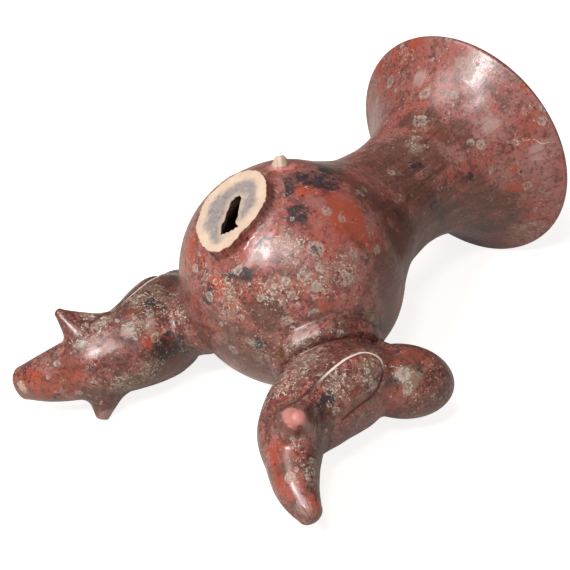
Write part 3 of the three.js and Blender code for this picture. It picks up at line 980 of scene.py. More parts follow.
@dataclass
class Limb:
    """A body of oval section along a line in the foot's plane of symmetry."""

    line: Array  # x and z of the centres
    side: Array  # half width at each centre
    back: Array  # half thickness at each centre
    ends: float  # how far the rounded ends reach past the line

    @classmethod
    def through(
        cls, points: Sequence[tuple[float, float]], side: Sequence[float], back: Sequence[float], ends: float
    ) -> Limb:
        """A limb through a few centres with a half width and a half thickness at each."""
        rows = catmull_rom([(*p, s, b) for p, s, b in zip(points, side, back)], 12)
        return cls(rows[:, :2], rows[:, 2], rows[:, 3], ends)

    def distance(self, points: Array) -> tuple[Array, Array, Array]:
        """Distance to the limb and where on it each point is nearest.

        Args:
            points: Points in the foot's frame.

        Returns:
            Signed distances, shares of the line and degrees round it, 0 at the side and 90 at the inner face.
        """
        flat = points[:, [0, 2]]
        along = np.gradient(self.line, axis=0)
        spacing = np.linalg.norm(along, axis=1)
        along = along / spacing[:, None]
        gap = (flat**2).sum(1)[:, None] - 2 * flat @ self.line.T + (self.line**2).sum(1)[None]
        at = gap.argmin(1).astype(float)
        last = len(self.line) - 1
        number = np.arange(last + 1)
        for nearing in (0.7, 0.8, 0.9, 1.0, 0.0):
            centre = np.stack([np.interp(at, number, self.line[:, k]) for k in (0, 1)], 1)
            ahead = unit_rows(np.stack([np.interp(at, number, along[:, k]) for k in (0, 1)], 1))
            rest = flat - centre
            past = (rest * ahead).sum(1)
            step = np.clip(nearing * past / np.interp(at, number, spacing), -1.0, 1.0)
            at = np.clip(at + step, 0, last)
        past = np.where((at <= 0) | (at >= last), past, 0.0)
        side, back = np.interp(at, number, self.side), np.interp(at, number, self.back)
        b = rest[:, 0] * ahead[:, 1] - rest[:, 1] * ahead[:, 0]
        offset3 = np.stack([points[:, 1], b, past], 1)
        radii = np.stack([side, back, np.full(len(at), self.ends)], 1)
        turned = np.degrees(np.arctan2(b / back, np.abs(points[:, 1]) / side))
        return ellipsoid_distance(offset3, radii), at / last, turned

    def skin_point(self, share: float, angle: float, sideways: int) -> Array:
        """A point of the skin at a share of the line and degrees round it, on one side."""
        number = np.arange(len(self.line))
        at = share * number[-1]
        along = np.gradient(self.line, axis=0)
        x, z = (np.interp(at, number, self.line[:, k]) for k in (0, 1))
        tx, tz = (np.interp(at, number, along[:, k]) for k in (0, 1))
        size = math.hypot(tx, tz)
        a = math.radians(angle)
        back = math.sin(a) * np.interp(at, number, self.back)
        side = sideways * math.cos(a) * np.interp(at, number, self.side)
        return np.array([x + back * tz / size, side, z - back * tx / size])


@dataclass
class Bird:
    """A hollow foot in the shape of a bird, tail down, luted to the globe by its breast and bill."""

    name: str
    nodes: str
    where: Placement
    wall: VesselWall
    trunk_line: tuple[tuple[float, float], ...] = (
        (87.0, -19.0), (80.5, -39.0), (73.0, -62.0), (76.8, -85.0), (89.6, -100.4), (101.4, -110.6),
        (114.6, -117.6),
    )
    trunk_side: tuple[float, ...] = (21.0, 26.8, 25.4, 21.6, 17.4, 13.7, 9.8)
    trunk_back: tuple[float, ...] = (13.0, 20.5, 24.6, 20.0, 14.9, 12.2, 8.2)
    head_centre: tuple[float, float] = (95.0, -17.0)
    head_radii: tuple[float, float, float] = (29.0, 21.4, 19.8)
    head_tilt: float = 39.0
    bill_line: tuple[tuple[float, float], ...] = ((62.0, -13.0), (76.0, -10.0), (92.0, -6.0), (104.0, -6.0))
    bill_side: tuple[float, ...] = (7.5, 9.5, 11.0, 10.0)
    bill_back: tuple[float, ...] = (5.2, 5.4, 6.8, 8.5)
    root_half: tuple[float, float] = (19.4, 26.0)
    collar_half: tuple[float, float] = (21.4, 27.0)
    collar_roll: float = 5.7
    collar_fillet: float = 1.8
    nub_tip: tuple[float, float, float] = (87.2, 34.6, -98.5)
    nub_lean: tuple[float, float, float] = (0.32, 0.9, -0.3)
    nub_back: tuple[float, float, float] = (0.34, 0.6, -0.71)  # along the ridge that runs up the wing
    nub_ridge: tuple[float, float] = (0.6, 1.0)  # thickness of the ridge on each side
    nub_length: float = 17.0
    nub_round: float = 2.6  # radius of the nubs' rounded tips
    nub_worn: tuple[float, float] = (0.4, 0.4)  # how much each nub's tip has worn off, mm
    wing_arch: tuple[tuple[float, float], ...] = (
        (0.54, 7), (0.42, -3), (0.31, -3), (0.21, 6), (0.14, 7), (0.1, -13), (0.12, -40), (0.2, -58),
        (0.39, -62),
    )
    groove_depth: float = 1.05
    groove_width: float = 0.95
    wing_rise: float = 0.55
    facet: float = 0.0  # how much more the tail has worn than the plane of standing says, mm
    pits: tuple[tuple[float, float, float, float, float], ...] = ()  # place, radius and depth, mm
    middle: tuple[float, float, float] = (78.0, 0.0, -58.0)  # the skin faces away from here
    fillet: float = 5.0  # to the globe and between root and trunk, mm
    bill_tighter: float = 3.4  # how much tighter the fillet to the globe is by the bill
    bill_from: tuple[float, float] = (-32.0, -22.0)  # heights between which it tightens
    bill_fillet: float = 1.6
    head_fillet: float = 2.4
    nub_fillet: float = 5.6
    skirt: float = 13.0  # how far round the body the globe's skin belongs to the foot, mm
    depth: float = 4.0  # how deep the foot goes into the wall, mm
    stroke_radius: float = 20.0  # mm; the polishing strokes are mapped on a cylinder of this radius
    stroke_length: float = 16.0  # mm; its length, much shorter than the trunk, so that strokes are long
    step: float = 0.69
    box: Box = ((14, -46, -130), (128, 46, 34))
    limb: Limb = field(init=False)
    bill: Limb = field(init=False)
    grooves: list[Array] = field(init=False)
    collar: Array = field(init=False)

    def __post_init__(self) -> None:
        """Make the limbs, grooves and collar that the sizes describe."""
        self.limb = Limb.through(self.trunk_line, self.trunk_side, self.trunk_back, 5.6)
        self.bill = Limb.through(self.bill_line, self.bill_side, self.bill_back, 5.0)
        arch = catmull_rom(self.wing_arch, 6)
        self.grooves = [
            np.array([self.limb.skin_point(share, angle, side) for share, angle in arch]) for side in (-1, 1)
        ]
        azimuth, polar = self.where.seat()
        turn = np.linspace(0, 2 * math.pi, 40, endpoint=False)
        flat = np.stack([np.cos(turn) * self.collar_half[0], np.sin(turn) * self.collar_half[1]], 1)
        out = np.sqrt((self.wall.radius + 1.4) ** 2 - (flat**2).sum(1))
        ring = np.column_stack([flat, out]) @ root_axes(azimuth, polar)
        self.collar = self.where.from_vessel(ring)

    def body(self, points: Array) -> Array:
        """Distance to the bird alone, without the globe.

        Args:
            points: Points in the foot's frame.

        Returns:
            Signed distances in mm.
        """
        trunk, share, angle = self.limb.distance(points)
        arch_middle = smoothstep(((share - 0.37) / 0.23) ** 2 + ((angle + 16) / 40) ** 2, 1.25, 0.7)
        trunk = trunk - self.wing_rise * arch_middle
        root = points @ root_axes(0.0, 60.0).T
        bar = ellipsoid_distance(root[:, :2], np.array(self.root_half))
        bar = smooth_max(bar, np.abs(root[:, 2] - (self.wall.radius + 1)) - 10.0, 2.0)
        total = smooth_min(trunk, bar, self.fillet)
        collar = polyline_distance(points, self.collar, closed=True) - self.collar_roll
        total = smooth_min(total, collar, self.collar_fillet)
        tilt = math.radians(self.head_tilt)
        c, s = math.cos(tilt), math.sin(tilt)
        x, z = points[:, 0] - self.head_centre[0], points[:, 2] - self.head_centre[1]
        turned = np.stack([x * c + z * s, points[:, 1], z * c - x * s], 1)
        head = ellipsoid_distance(turned, np.array(self.head_radii))
        head = smooth_min(head, self.bill.distance(points)[0], self.bill_fillet)
        total = smooth_min(total, head, self.head_fillet)
        mirrored = points.copy()
        mirrored[:, 1] = np.abs(mirrored[:, 1])
        from_tip = np.array(self.nub_tip) - mirrored
        cones = []
        ridge = np.where(points[:, 1] < 0, *self.nub_ridge)
        for lean, start, widening, length in (
            (self.nub_lean, self.nub_round, 6.4, self.nub_length),
            (self.nub_back, 1.8 * ridge, 5.0 * ridge, 25.0),
        ):
            axis = np.array(lean) / np.linalg.norm(lean)
            deep = from_tip @ axis
            down = np.clip(deep, self.nub_round, length)
            radius = start + widening * (down - self.nub_round) / (length - self.nub_round)
            cone = np.linalg.norm(from_tip - down[:, None] * axis, axis=1) - radius
            worn = np.where(points[:, 1] < 0, *self.nub_worn)
            cones.append(smooth_max(cone, worn - deep, 1.2))
        return smooth_min(total, smooth_min(*cones, 3.0), self.nub_fillet)

    def reach(self, points: Array) -> Array:
        """Distance from standing points to the bird alone, in mm."""
        return self.body(self.where.from_vessel(points)) * self.where.size

    def clay(self, points: Array) -> Array:
        """The field of the finished foot, with its fillet to the globe.

        Args:
            points: Points in the foot's frame.

        Returns:
            Signed distances in mm.
        """
        standing = self.where.to_vessel(points)
        globe = self.wall.distance(standing) / self.where.size
        bird = self.body(points)
        sunk = self.wall.sunk(globe, bird, SEAM_AT / self.where.size)
        fillet = self.fillet - self.bill_tighter * smoothstep(points[:, 2], *self.bill_from)
        total = smooth_min(bird, sunk, fillet / self.where.size)
        for *place, radius, depth in self.pits:
            total = total + depth * np.exp(-((points - place) ** 2).sum(1) / radius**2)
        line = np.minimum(*(polyline_distance(points, g) for g in self.grooves))
        total = total + self.groove_depth * np.exp(-((line / self.groove_width) ** 2))
        worn = STAND.height_above(standing) / self.where.size - self.facet
        total = smooth_max(total, -worn, 0.7)
        within = np.linalg.norm(standing, axis=1) - (self.wall.radius - self.depth)
        total = np.maximum(total, -within / self.where.size)
        return np.maximum(total, bird - self.skirt)

    def build(self, finish: Material) -> Object:
        """Make the foot.

        Args:
            finish: Material of the foot.

        Returns:
            The foot's object.
        """
        points, quads = SurfaceNets(self.step * (1.0)).build(self.clay, *self.box)
        return make_object(self.name, self.where.to_vessel(points), quads, finish)

    def dress(self, foot: Object, stains: dict[Stain, Rows], seed: int) -> None:
        """Store what the finish needs on the foot's mesh.

        Args:
            foot: The foot's object.
            stains: Stains by place and radius in the foot's own frame.
            seed: Seed of the stains on the hidden sides.
        """
        points = self.where.from_vessel(mesh_points(foot))
        _, share, angle = self.limb.distance(points)
        turn = np.radians(angle)
        side = np.sign(points[:, 1]) + (points[:, 1] == 0)
        turned = (self.stroke_radius * np.cos(turn) * side, self.stroke_radius * np.sin(turn))
        set_attribute(foot, "burnish", np.stack([*turned, share * self.stroke_length], 1))
        lines = []
        for line in self.grooves:
            lines.append(beside_line(points, line, unit_rows(line - np.array(self.middle))))
        nearer = np.abs(lines[0][:, :1]) + lines[0][:, 1:2] < np.abs(lines[1][:, :1]) + lines[1][:, 1:2]
        set_attribute(foot, "groove", np.where(nearer, lines[0], lines[1]))
        set_attribute(foot, "aged", np.ones(len(points)))
        Weathering.placed(stains, self.where.to_vessel, seed, FOOT_STREWN).paint(foot)


@dataclass(frozen=True)
class StandingPlane:
    """The level on which the tails wore flat, which slopes a little because the feet are unlike."""

    level: float = -127.3
    slope: float = 2.1
    azimuth: float = -139.0

    def height_above(self, points: Array) -> Array:
        """Height of standing points above the plane, in mm."""
        s, a = math.radians(self.slope), math.radians(self.azimuth)
        normal = np.array([math.sin(s) * math.cos(a), math.sin(s) * math.sin(a), math.cos(s)])
        return (points - np.array([0.0, 0.0, self.level])) @ normal


STAND = StandingPlane()


@dataclass
class Remnant:
    """Something the lost foot left on the globe, in a frame of its own across, up and out of the wall."""

    wall: VesselWall
    azimuth: float = 0.0
    polar: float = 90.0
    step: float = 0.5

    def axes(self) -> Array:
        """Rows across, up and out at its middle."""
        return root_axes(self.azimuth, self.polar)

    def rooted(
        self, local: Array, stub: Array, beside: Array, fillet: float, skirt: float, depth: float
    ) -> Array:
        """Join a stub to the globe.

        Args:
            local: Points across, up and out from the globe's centre.
            stub: Their distances to the stub alone.
            beside: Their distances from its foot.
            fillet: Reach of the fillet.
            skirt: How far round its foot the globe's skin belongs to it.
            depth: How deep it goes into the wall.

        Returns:
            Signed distances in mm.
        """
        sunk = self.wall.sunk(self.wall.distance(local @ self.axes()), beside, SEAM_AT)
        total = np.maximum(smooth_min(stub, sunk, fillet), beside - skirt)
        return np.maximum(total, self.wall.radius - depth - np.linalg.norm(local, axis=1))

    def dress(self, piece: Object, stains: dict[Stain, Rows]) -> None:
        """Store what the finish needs on its mesh.

        Args:
            piece: Its object.
            stains: Stains by place and radius along its axes.
        """
        set_attribute(piece, "burnish", mesh_points(piece) / (1.0, 1.0, 6.0))
        Weathering.placed(stains, lambda places: places @ self.axes(), 5, ()).paint(piece)


@dataclass
class BrokenRoot(Remnant):
    """The low ragged root of the lost foot, with a slit into the globe."""

    azimuth: float = -48.4
    polar: float = 60.0
    level: float = 70.6
    outline: tuple[tuple[float, float], ...] = (
        (-17.4, -13.9), (-11.8, -19.2), (-2.9, -24.0), (5.2, -23.3), (11.6, -16.0), (13.6, -8.0), (17.0, 3.7),
        (16.6, 12.5), (11.0, 22.2), (3.6, 27.2), (-5.0, 26.4), (-12.6, 20.2), (-19.6, 8.8), (-21.2, -1.2),
    )  # across and up from the root's middle, as the break shows
    slit: tuple[tuple[float, float], ...] = (
        (2.1, -13.6), (-1.6, -8.3), (-2.2, -3.5), (-4.1, 2.9), (-4.2, 7.3), (-2.4, 10.8), (1.0, 10.3),
        (2.7, 5.8), (5.2, -0.3), (6.5, -4.3), (9.0, -6.1), (6.0, -10.4),
    )
    box: Box = ((-34, -38, 42), (30, 40, 76))

    def smooth_outline(self) -> Array:
        """The outline with rounded corners."""
        return catmull_rom(self.outline, 3, closed=True)

    def reach(self, points: Array) -> Array:
        """Distance from standing points to the broken root, in mm."""
        local = points @ self.axes().T
        flat = outline_distance(local[:, :2], self.smooth_outline())
        return np.where(local[:, 2] > 0, flat, 99.0)

    def face(self, local: Array) -> Array:
        """Height of points above the rough face of the break, in mm."""
        x, y = local[:, 0], local[:, 1]
        rough = 0.28 * np.sin(x / 3.1 + 0.8 * np.sin(y / 4.7))
        rough = rough + 0.22 * np.sin(y / 2.3 + 1.1 * np.sin(x / 3.9))
        fine = 0.1 * np.sin(x * 1.9 + 2.1 * np.sin(y * 0.7)) * np.sin(y * 1.7 + 1.3)
        return local[:, 2] - (self.level + rough + fine + 0.02 * y)

    def clay(self, local: Array) -> Array:
        """The field of the broken root, in its own frame.

        Args:
            local: Points across, up and out from the globe's centre.

        Returns:
            Signed distances in mm.
        """
        x, y = local[:, 0], local[:, 1]
        ragged = 0.35 * np.sin(x * 0.9 + y * 0.6) + 0.25 * np.sin(y * 1.7 - x)
        oval = outline_distance(local[:, :2], self.smooth_outline())
        stub = smooth_max(oval + ragged * 0.6, self.face(local), 0.35)
        total = self.rooted(local, stub, oval, 2.4, 9.0, 5.6)
        rim = 0.3 * np.sin(y * 1.3 + x * 2.1)
        undercut = np.clip((self.level - 1.0 - local[:, 2]) * 0.9, 0.0, 6.0)
        slit = outline_distance(local[:, :2], np.array(self.slit)) + rim - undercut
        return smooth_max(total, -slit, 0.5)

    def build(self, slip: Material, paste: Material) -> Object:
        """Make the broken root.

        Args:
            slip: Material of the outside.
            paste: Material of the fresh break.

        Returns:
            The root's object.
        """
        nets = SurfaceNets(self.step * (1.0))
        local, quads = nets.build(self.clay, *self.box)
        root = make_object("broken_root", local @ self.axes(), quads, slip, paste)
        corners = local[quads]
        centre = corners.mean(1)
        normal = unit_rows(np.cross(corners[:, 2] - corners[:, 0], corners[:, 3] - corners[:, 1]))
        outline = self.smooth_outline()
        fresh = (np.abs(self.face(centre)) < 0.9) & (normal[:, 2] > 0.55)
        fresh |= (outline_distance(centre[:, :2], outline) < -4.0) & (normal[:, 2] > -0.8)
        root.data.polygons.foreach_set("material_index", fresh.astype(np.int32))
        depth = -outline_distance(local[:, :2], outline)
        slit = outline_distance(local[:, :2], np.array(self.slit))
        set_attribute(root, "from_edge", depth)
        set_attribute(root, "from_slit", slit)
        # how far the slit's walls lie below the break's face, which the paste darkens as painted shade
        set_attribute(root, "below", np.where(slit < 3.0, self.level - local[:, 2], 0.0))
        self.dress(root, {Stain.SOOT: ((-22, -8, 64, 9), (-19, 12, 66, 8), (-2, -25, 64, 8))})
        return root

    def slit_cutter(self) -> Object:
        """A bar through the wall, wider than the slit and narrower than the root."""
        turn = np.linspace(0, 2 * math.pi, 32, endpoint=False)
        oval = np.stack([1.5 + 11.5 * np.cos(turn), -1.0 + 18.0 * np.sin(turn)], 1)
        return bar_object("slit_cutter", oval, (40.0, 90.0), self.axes())


def bar_object(name: str, outline: Array, span: tuple[float, float], axes: Array) -> Object:
    """A straight bar with a flat outline.

    Args:
        name: The object's name.
        outline: Corners across and up.
        span: Where the bar starts and ends along the third axis.
        axes: Rows of the bar's axes in the standing frame.

    Returns:
        The bar's object.
    """
    n = len(outline)
    points = np.concatenate([np.column_stack([outline, np.full(n, s)]) for s in span]) @ axes
    faces = [tuple(range(n))[::-1], tuple(range(n, 2 * n))]
    faces += [(i, (i + 1) % n, n + (i + 1) % n, n + i) for i in range(n)]
    return make_object(name, points, np.array(faces, dtype=object))


@dataclass
class BillScar(Remnant):
    """The stub of the lost foot's bill on the globe."""

    azimuth: float = -52.3
    polar: float = 99.7
    step: float = 0.33
    box: Box = ((-21, -24, 54), (21, 24, 76))

    def body(self, local: Array) -> Array:
        """Distance to the stub alone, at points across, up and out."""
        x, y, out = local.T
        rise = out - self.wall.radius
        lumps = 0.3 * np.sin(x * 0.9 + 1.0) * np.sin(y * 0.8) + 0.12 * np.sin(x * 1.7 + y * 1.5)
        radius = 4.8 - 0.5 * rise + lumps
        top = rise - 5.6 - 0.6 * lumps + 0.3 * np.abs(x - 0.6) + 0.12 * y
        return smooth_max(np.hypot(x, y * 0.85) - radius, top, 0.8)

    def reach(self, points: Array) -> Array:
        """Distance from standing points to the stub, in mm."""
        local = points @ self.axes().T
        return np.where(local[:, 2] > 0, self.body(local), 99.0)

    def clay(self, local: Array) -> Array:
        """The field of the stub with its fillet to the globe."""
        stub = self.body(local)
        return self.rooted(local, stub, stub, 1.6, 8.0, 4.0)

    def build(self, slip: Material, paste: Material) -> Object:
        """Make the stub, with bare clay where the bill broke away."""
        nets = SurfaceNets(self.step * (1.0))
        local, quads = nets.build(self.clay, *self.box)
        scar = make_object("bill_scar", local @ self.axes(), quads, slip, paste)
        centre = local[quads].mean(1)
        bare = (np.linalg.norm(centre, axis=1) > self.wall.radius + 0.9) & (self.body(centre) < 0.6)
        scar.data.polygons.foreach_set("material_index", bare.astype(np.int32))
        set_attribute(scar, "from_edge", np.full(len(local), 3.0))
        set_attribute(scar, "from_slit", np.full(len(local), 9.0))
        self.dress(scar, {Stain.WORN: ((0, 0, 66, 13),)})
        return scar


def set_attribute(piece: Object, name: str, values: Array) -> None:
    """Store numbers or vectors for each point of a piece's mesh.

    Args:
        piece: The piece.
        name: The attribute's name.
        values: One value or one row of three for each point.
    """
    values = np.asarray(values, np.float32)
    kind, part = ("FLOAT_VECTOR", "vector") if values.ndim == 2 else ("FLOAT", "value")
    attribute = piece.data.attributes.get(name) or piece.data.attributes.new(name, kind, "POINT")
    attribute.data.foreach_set(part, values.ravel())


def cut(piece: Object, cutter: Object) -> None:
    """Cut one closed piece with another and drop the cutter.

    Args:
        piece: What is cut.
        cutter: What is taken away.
    """
    modifier = piece.modifiers.new("cut", "BOOLEAN")
    modifier.operation = "DIFFERENCE"
    modifier.solver = "EXACT"
    modifier.object = cutter
    mesh = bpy.data.meshes.new_from_object(piece.evaluated_get(bpy.context.evaluated_depsgraph_get()))
    piece.modifiers.remove(modifier)
    old = piece.data
    piece.data = mesh
    bpy.data.meshes.remove(old)
    bpy.data.objects.remove(cutter)


# Materials


def linear(code: str) -> tuple[float, float, float, float]:
    """An sRGB hex colour as linear red, green, blue and alpha.

    Args:
        code: Six hex digits after a hash.

    Returns:
        Linear values.
    """
    parts = [int(code[i : i + 2], 16) / 255 for i in (1, 3, 5)]
    return (*(c / 12.92 if c <= 0.04045 else ((c + 0.055) / 1.055) ** 2.4 for c in parts), 1.0)


def add_node(
    tree: Tree,
    kind: str,
    settings: dict | None = None,
    links: dict | None = None,
    inputs: dict | None = None,
) -> bpy.types.Node:
    """Add a node with its settings, values and links.

    Args:
        tree: The tree that gets the node.
        kind: The node's type name.
        settings: Properties of the node itself.
        links: Input name or number to the socket that feeds it.
        inputs: Input name or number to a value.

    Returns:
        The node.
    """
    node = tree.nodes.new(kind)
    for key, value in (settings or {}).items():
        setattr(node, key, value)
    for key, value in (inputs or {}).items():
        node.inputs[key].default_value = value
    for key, socket in (links or {}).items():
        tree.links.new(socket, node.inputs[key])
    return node


@dataclass(frozen=True)
class Coat:
    """Something that lies over the clay."""

    mask: Socket
    colour: str | Socket
    roughness: float | None = None
    height: float = 0.0  # mm


class ClayTree:
    """A material's node tree, whose patterns are measured in millimetres of the piece."""

    def __init__(self, name: str) -> None:
        """Start an empty material.

        Args:
            name: The material's name.
        """
        self.material = bpy.data.materials.new(name)
        self.material.use_nodes = True
        self.tree = self.material.node_tree
        self.tree.nodes.clear()
        place = add_node(self.tree, "ShaderNodeTexCoord")
        self.mm = add_node(
            self.tree,
            "ShaderNodeVectorMath",
            {"operation": "SCALE"},
            {0: place.outputs["Object"]},
            {"Scale": 1 / MM},
        ).outputs[0]
        self.seed = 0.0

    def attribute(self, name: str, output: str = "Fac") -> Socket:
        """A value stored on the mesh."""
        return add_node(self.tree, "ShaderNodeAttribute", {"attribute_name": name}).outputs[output]

    def ramp(self, value: Socket, low: float, high: float, top: float = 1.0) -> Socket:
        """Ease a value from 0 at low to top at high."""
        return add_node(
            self.tree,
            "ShaderNodeMapRange",
            {"interpolation_type": "SMOOTHSTEP"},
            {"Value": value},
            {"From Min": low, "From Max": high, "To Max": top},
        ).outputs[0]

    def shifted(self, level: Socket, bias: Sequence[tuple[Socket, float]]) -> Socket:
        """Add to a level other values, each times its gain."""
        for value, gain in bias:
            level = add_node(
                self.tree, "ShaderNodeMath", {"operation": "MULTIPLY_ADD"}, {0: value, 2: level}, {1: gain}
            ).outputs[0]
        return level

    def noise(
        self, size: float, detail: float = 4.0, rough: float = 0.6, where: Socket | None = None
    ) -> bpy.types.Node:
        """Noise with features of a size in mm, unlike any other in the tree."""
        self.seed += 3.7
        return add_node(
            self.tree,
            "ShaderNodeTexNoise",
            {"noise_dimensions": "4D"},
            {"Vector": where or self.mm},
            {"Scale": 1 / size, "Detail": detail, "Roughness": rough, "W": self.seed},
        )

    def cloud(
        self,
        size: float,
        low: float,
        high: float,
        bias: Sequence[tuple[Socket, float]] = (),
        top: float = 1.0,
        detail: float = 4.0,
        rough: float = 0.6,
        where: Socket | None = None,
    ) -> Socket:
        """A mask of irregular patches.

        Args:
            size: Size of the patches in mm.
            low: Noise level where a patch begins.
            high: Noise level where a patch is full.
            bias: Values that raise the level, each with its gain.
            top: The mask's greatest value.
            detail: Octaves of noise.
            rough: Share that each octave keeps of the one before.
            where: Coordinates, if not the piece's own.

        Returns:
            The mask, from 0 to top.
        """
        level = self.noise(size, detail, rough, where).outputs["Fac"]
        return self.ramp(self.shifted(level, bias), low, high, top)

    def discs(
        self,
        size: float,
        share: float,
        widest: float = 0.46,
        bias: Sequence[tuple[Socket, float]] = (),
        ragged: float = 0.22,
    ) -> Socket:
        """Scattered discs of many sizes.

        Args:
            size: Space that each disc has, in mm.
            share: Share of the spaces that hold a disc.
            widest: Radius of the widest disc, as a share of its space.
            bias: Values that raise the chance of a disc, each with its gain.
            ragged: How far the outlines wander, as a share of the space.

        Returns:
            Distance from the nearest disc's middle, as a share of its radius.
        """
        wander = self.noise(size * 0.3, 3.0)
        moved = add_node(
            self.tree,
            "ShaderNodeVectorMath",
            {"operation": "MULTIPLY_ADD"},
            {0: wander.outputs["Color"], 2: self.mm},
            {1: (size * ragged,) * 3},
        )
        cells = add_node(
            self.tree, "ShaderNodeTexVoronoi", links={"Vector": moved.outputs[0]}, inputs={"Scale": 1 / size}
        )
        chance = add_node(self.tree, "ShaderNodeSeparateColor", links={0: cells.outputs["Color"]}).outputs[0]
        radius = add_node(
            self.tree,
            "ShaderNodeMapRange",
            links={"Value": self.shifted(chance, bias)},
            inputs={"From Min": 1 - share, "To Min": 0.001, "To Max": widest},
        ).outputs[0]
        return add_node(
            self.tree, "ShaderNodeMath", {"operation": "DIVIDE"}, {0: cells.outputs["Distance"], 1: radius}
        ).outputs[0]

    def product(self, a: Socket, b: Socket) -> Socket:
        """Where two masks meet."""
        return add_node(self.tree, "ShaderNodeMath", {"operation": "MULTIPLY"}, {0: a, 1: b}).outputs[0]

    def finish(self, ground: str, gloss: float, coats: Sequence[Coat], grain: Socket) -> None:
        """Lay coats over the ground, one after another, and connect the shader.

        Args:
            ground: Colour of the clay below.
            gloss: Roughness of the clay below.
            coats: What lies on it, from the lowest up.
            grain: Unevenness of the ground, in mm.
        """
        tree = self.tree
        colour = add_node(tree, "ShaderNodeRGB")
        colour.outputs[0].default_value = linear(ground)
        colour = colour.outputs[0]
        rough = add_node(tree, "ShaderNodeValue")
        rough.outputs[0].default_value = gloss
        rough = rough.outputs[0]
        height = grain
        for coat in coats:
            mix = add_node(tree, "ShaderNodeMix", {"data_type": "RGBA"}, {0: coat.mask, 6: colour})
            if isinstance(coat.colour, str):
                mix.inputs[7].default_value = linear(coat.colour)
            else:
                tree.links.new(coat.colour, mix.inputs[7])
            colour = mix.outputs[2]
            if coat.roughness is not None:
                rough = add_node(
                    tree,
                    "ShaderNodeMix",
                    {"data_type": "FLOAT"},
                    {0: coat.mask, 2: rough},
                    {3: coat.roughness},
                ).outputs[0]
            if coat.height:
                height = self.shifted(height, ((coat.mask, coat.height),))
        bump = add_node(
            tree, "ShaderNodeBump", links={"Height": height}, inputs={"Distance": MM, "Strength": 1.0}
        )
        shader = add_node(
            tree,
            "ShaderNodeBsdfPrincipled",
            links={"Base Color": colour, "Roughness": rough, "Normal": bump.outputs[0]},
        )
        add_node(tree, "ShaderNodeOutputMaterial", links={"Surface": shader.outputs[0]})


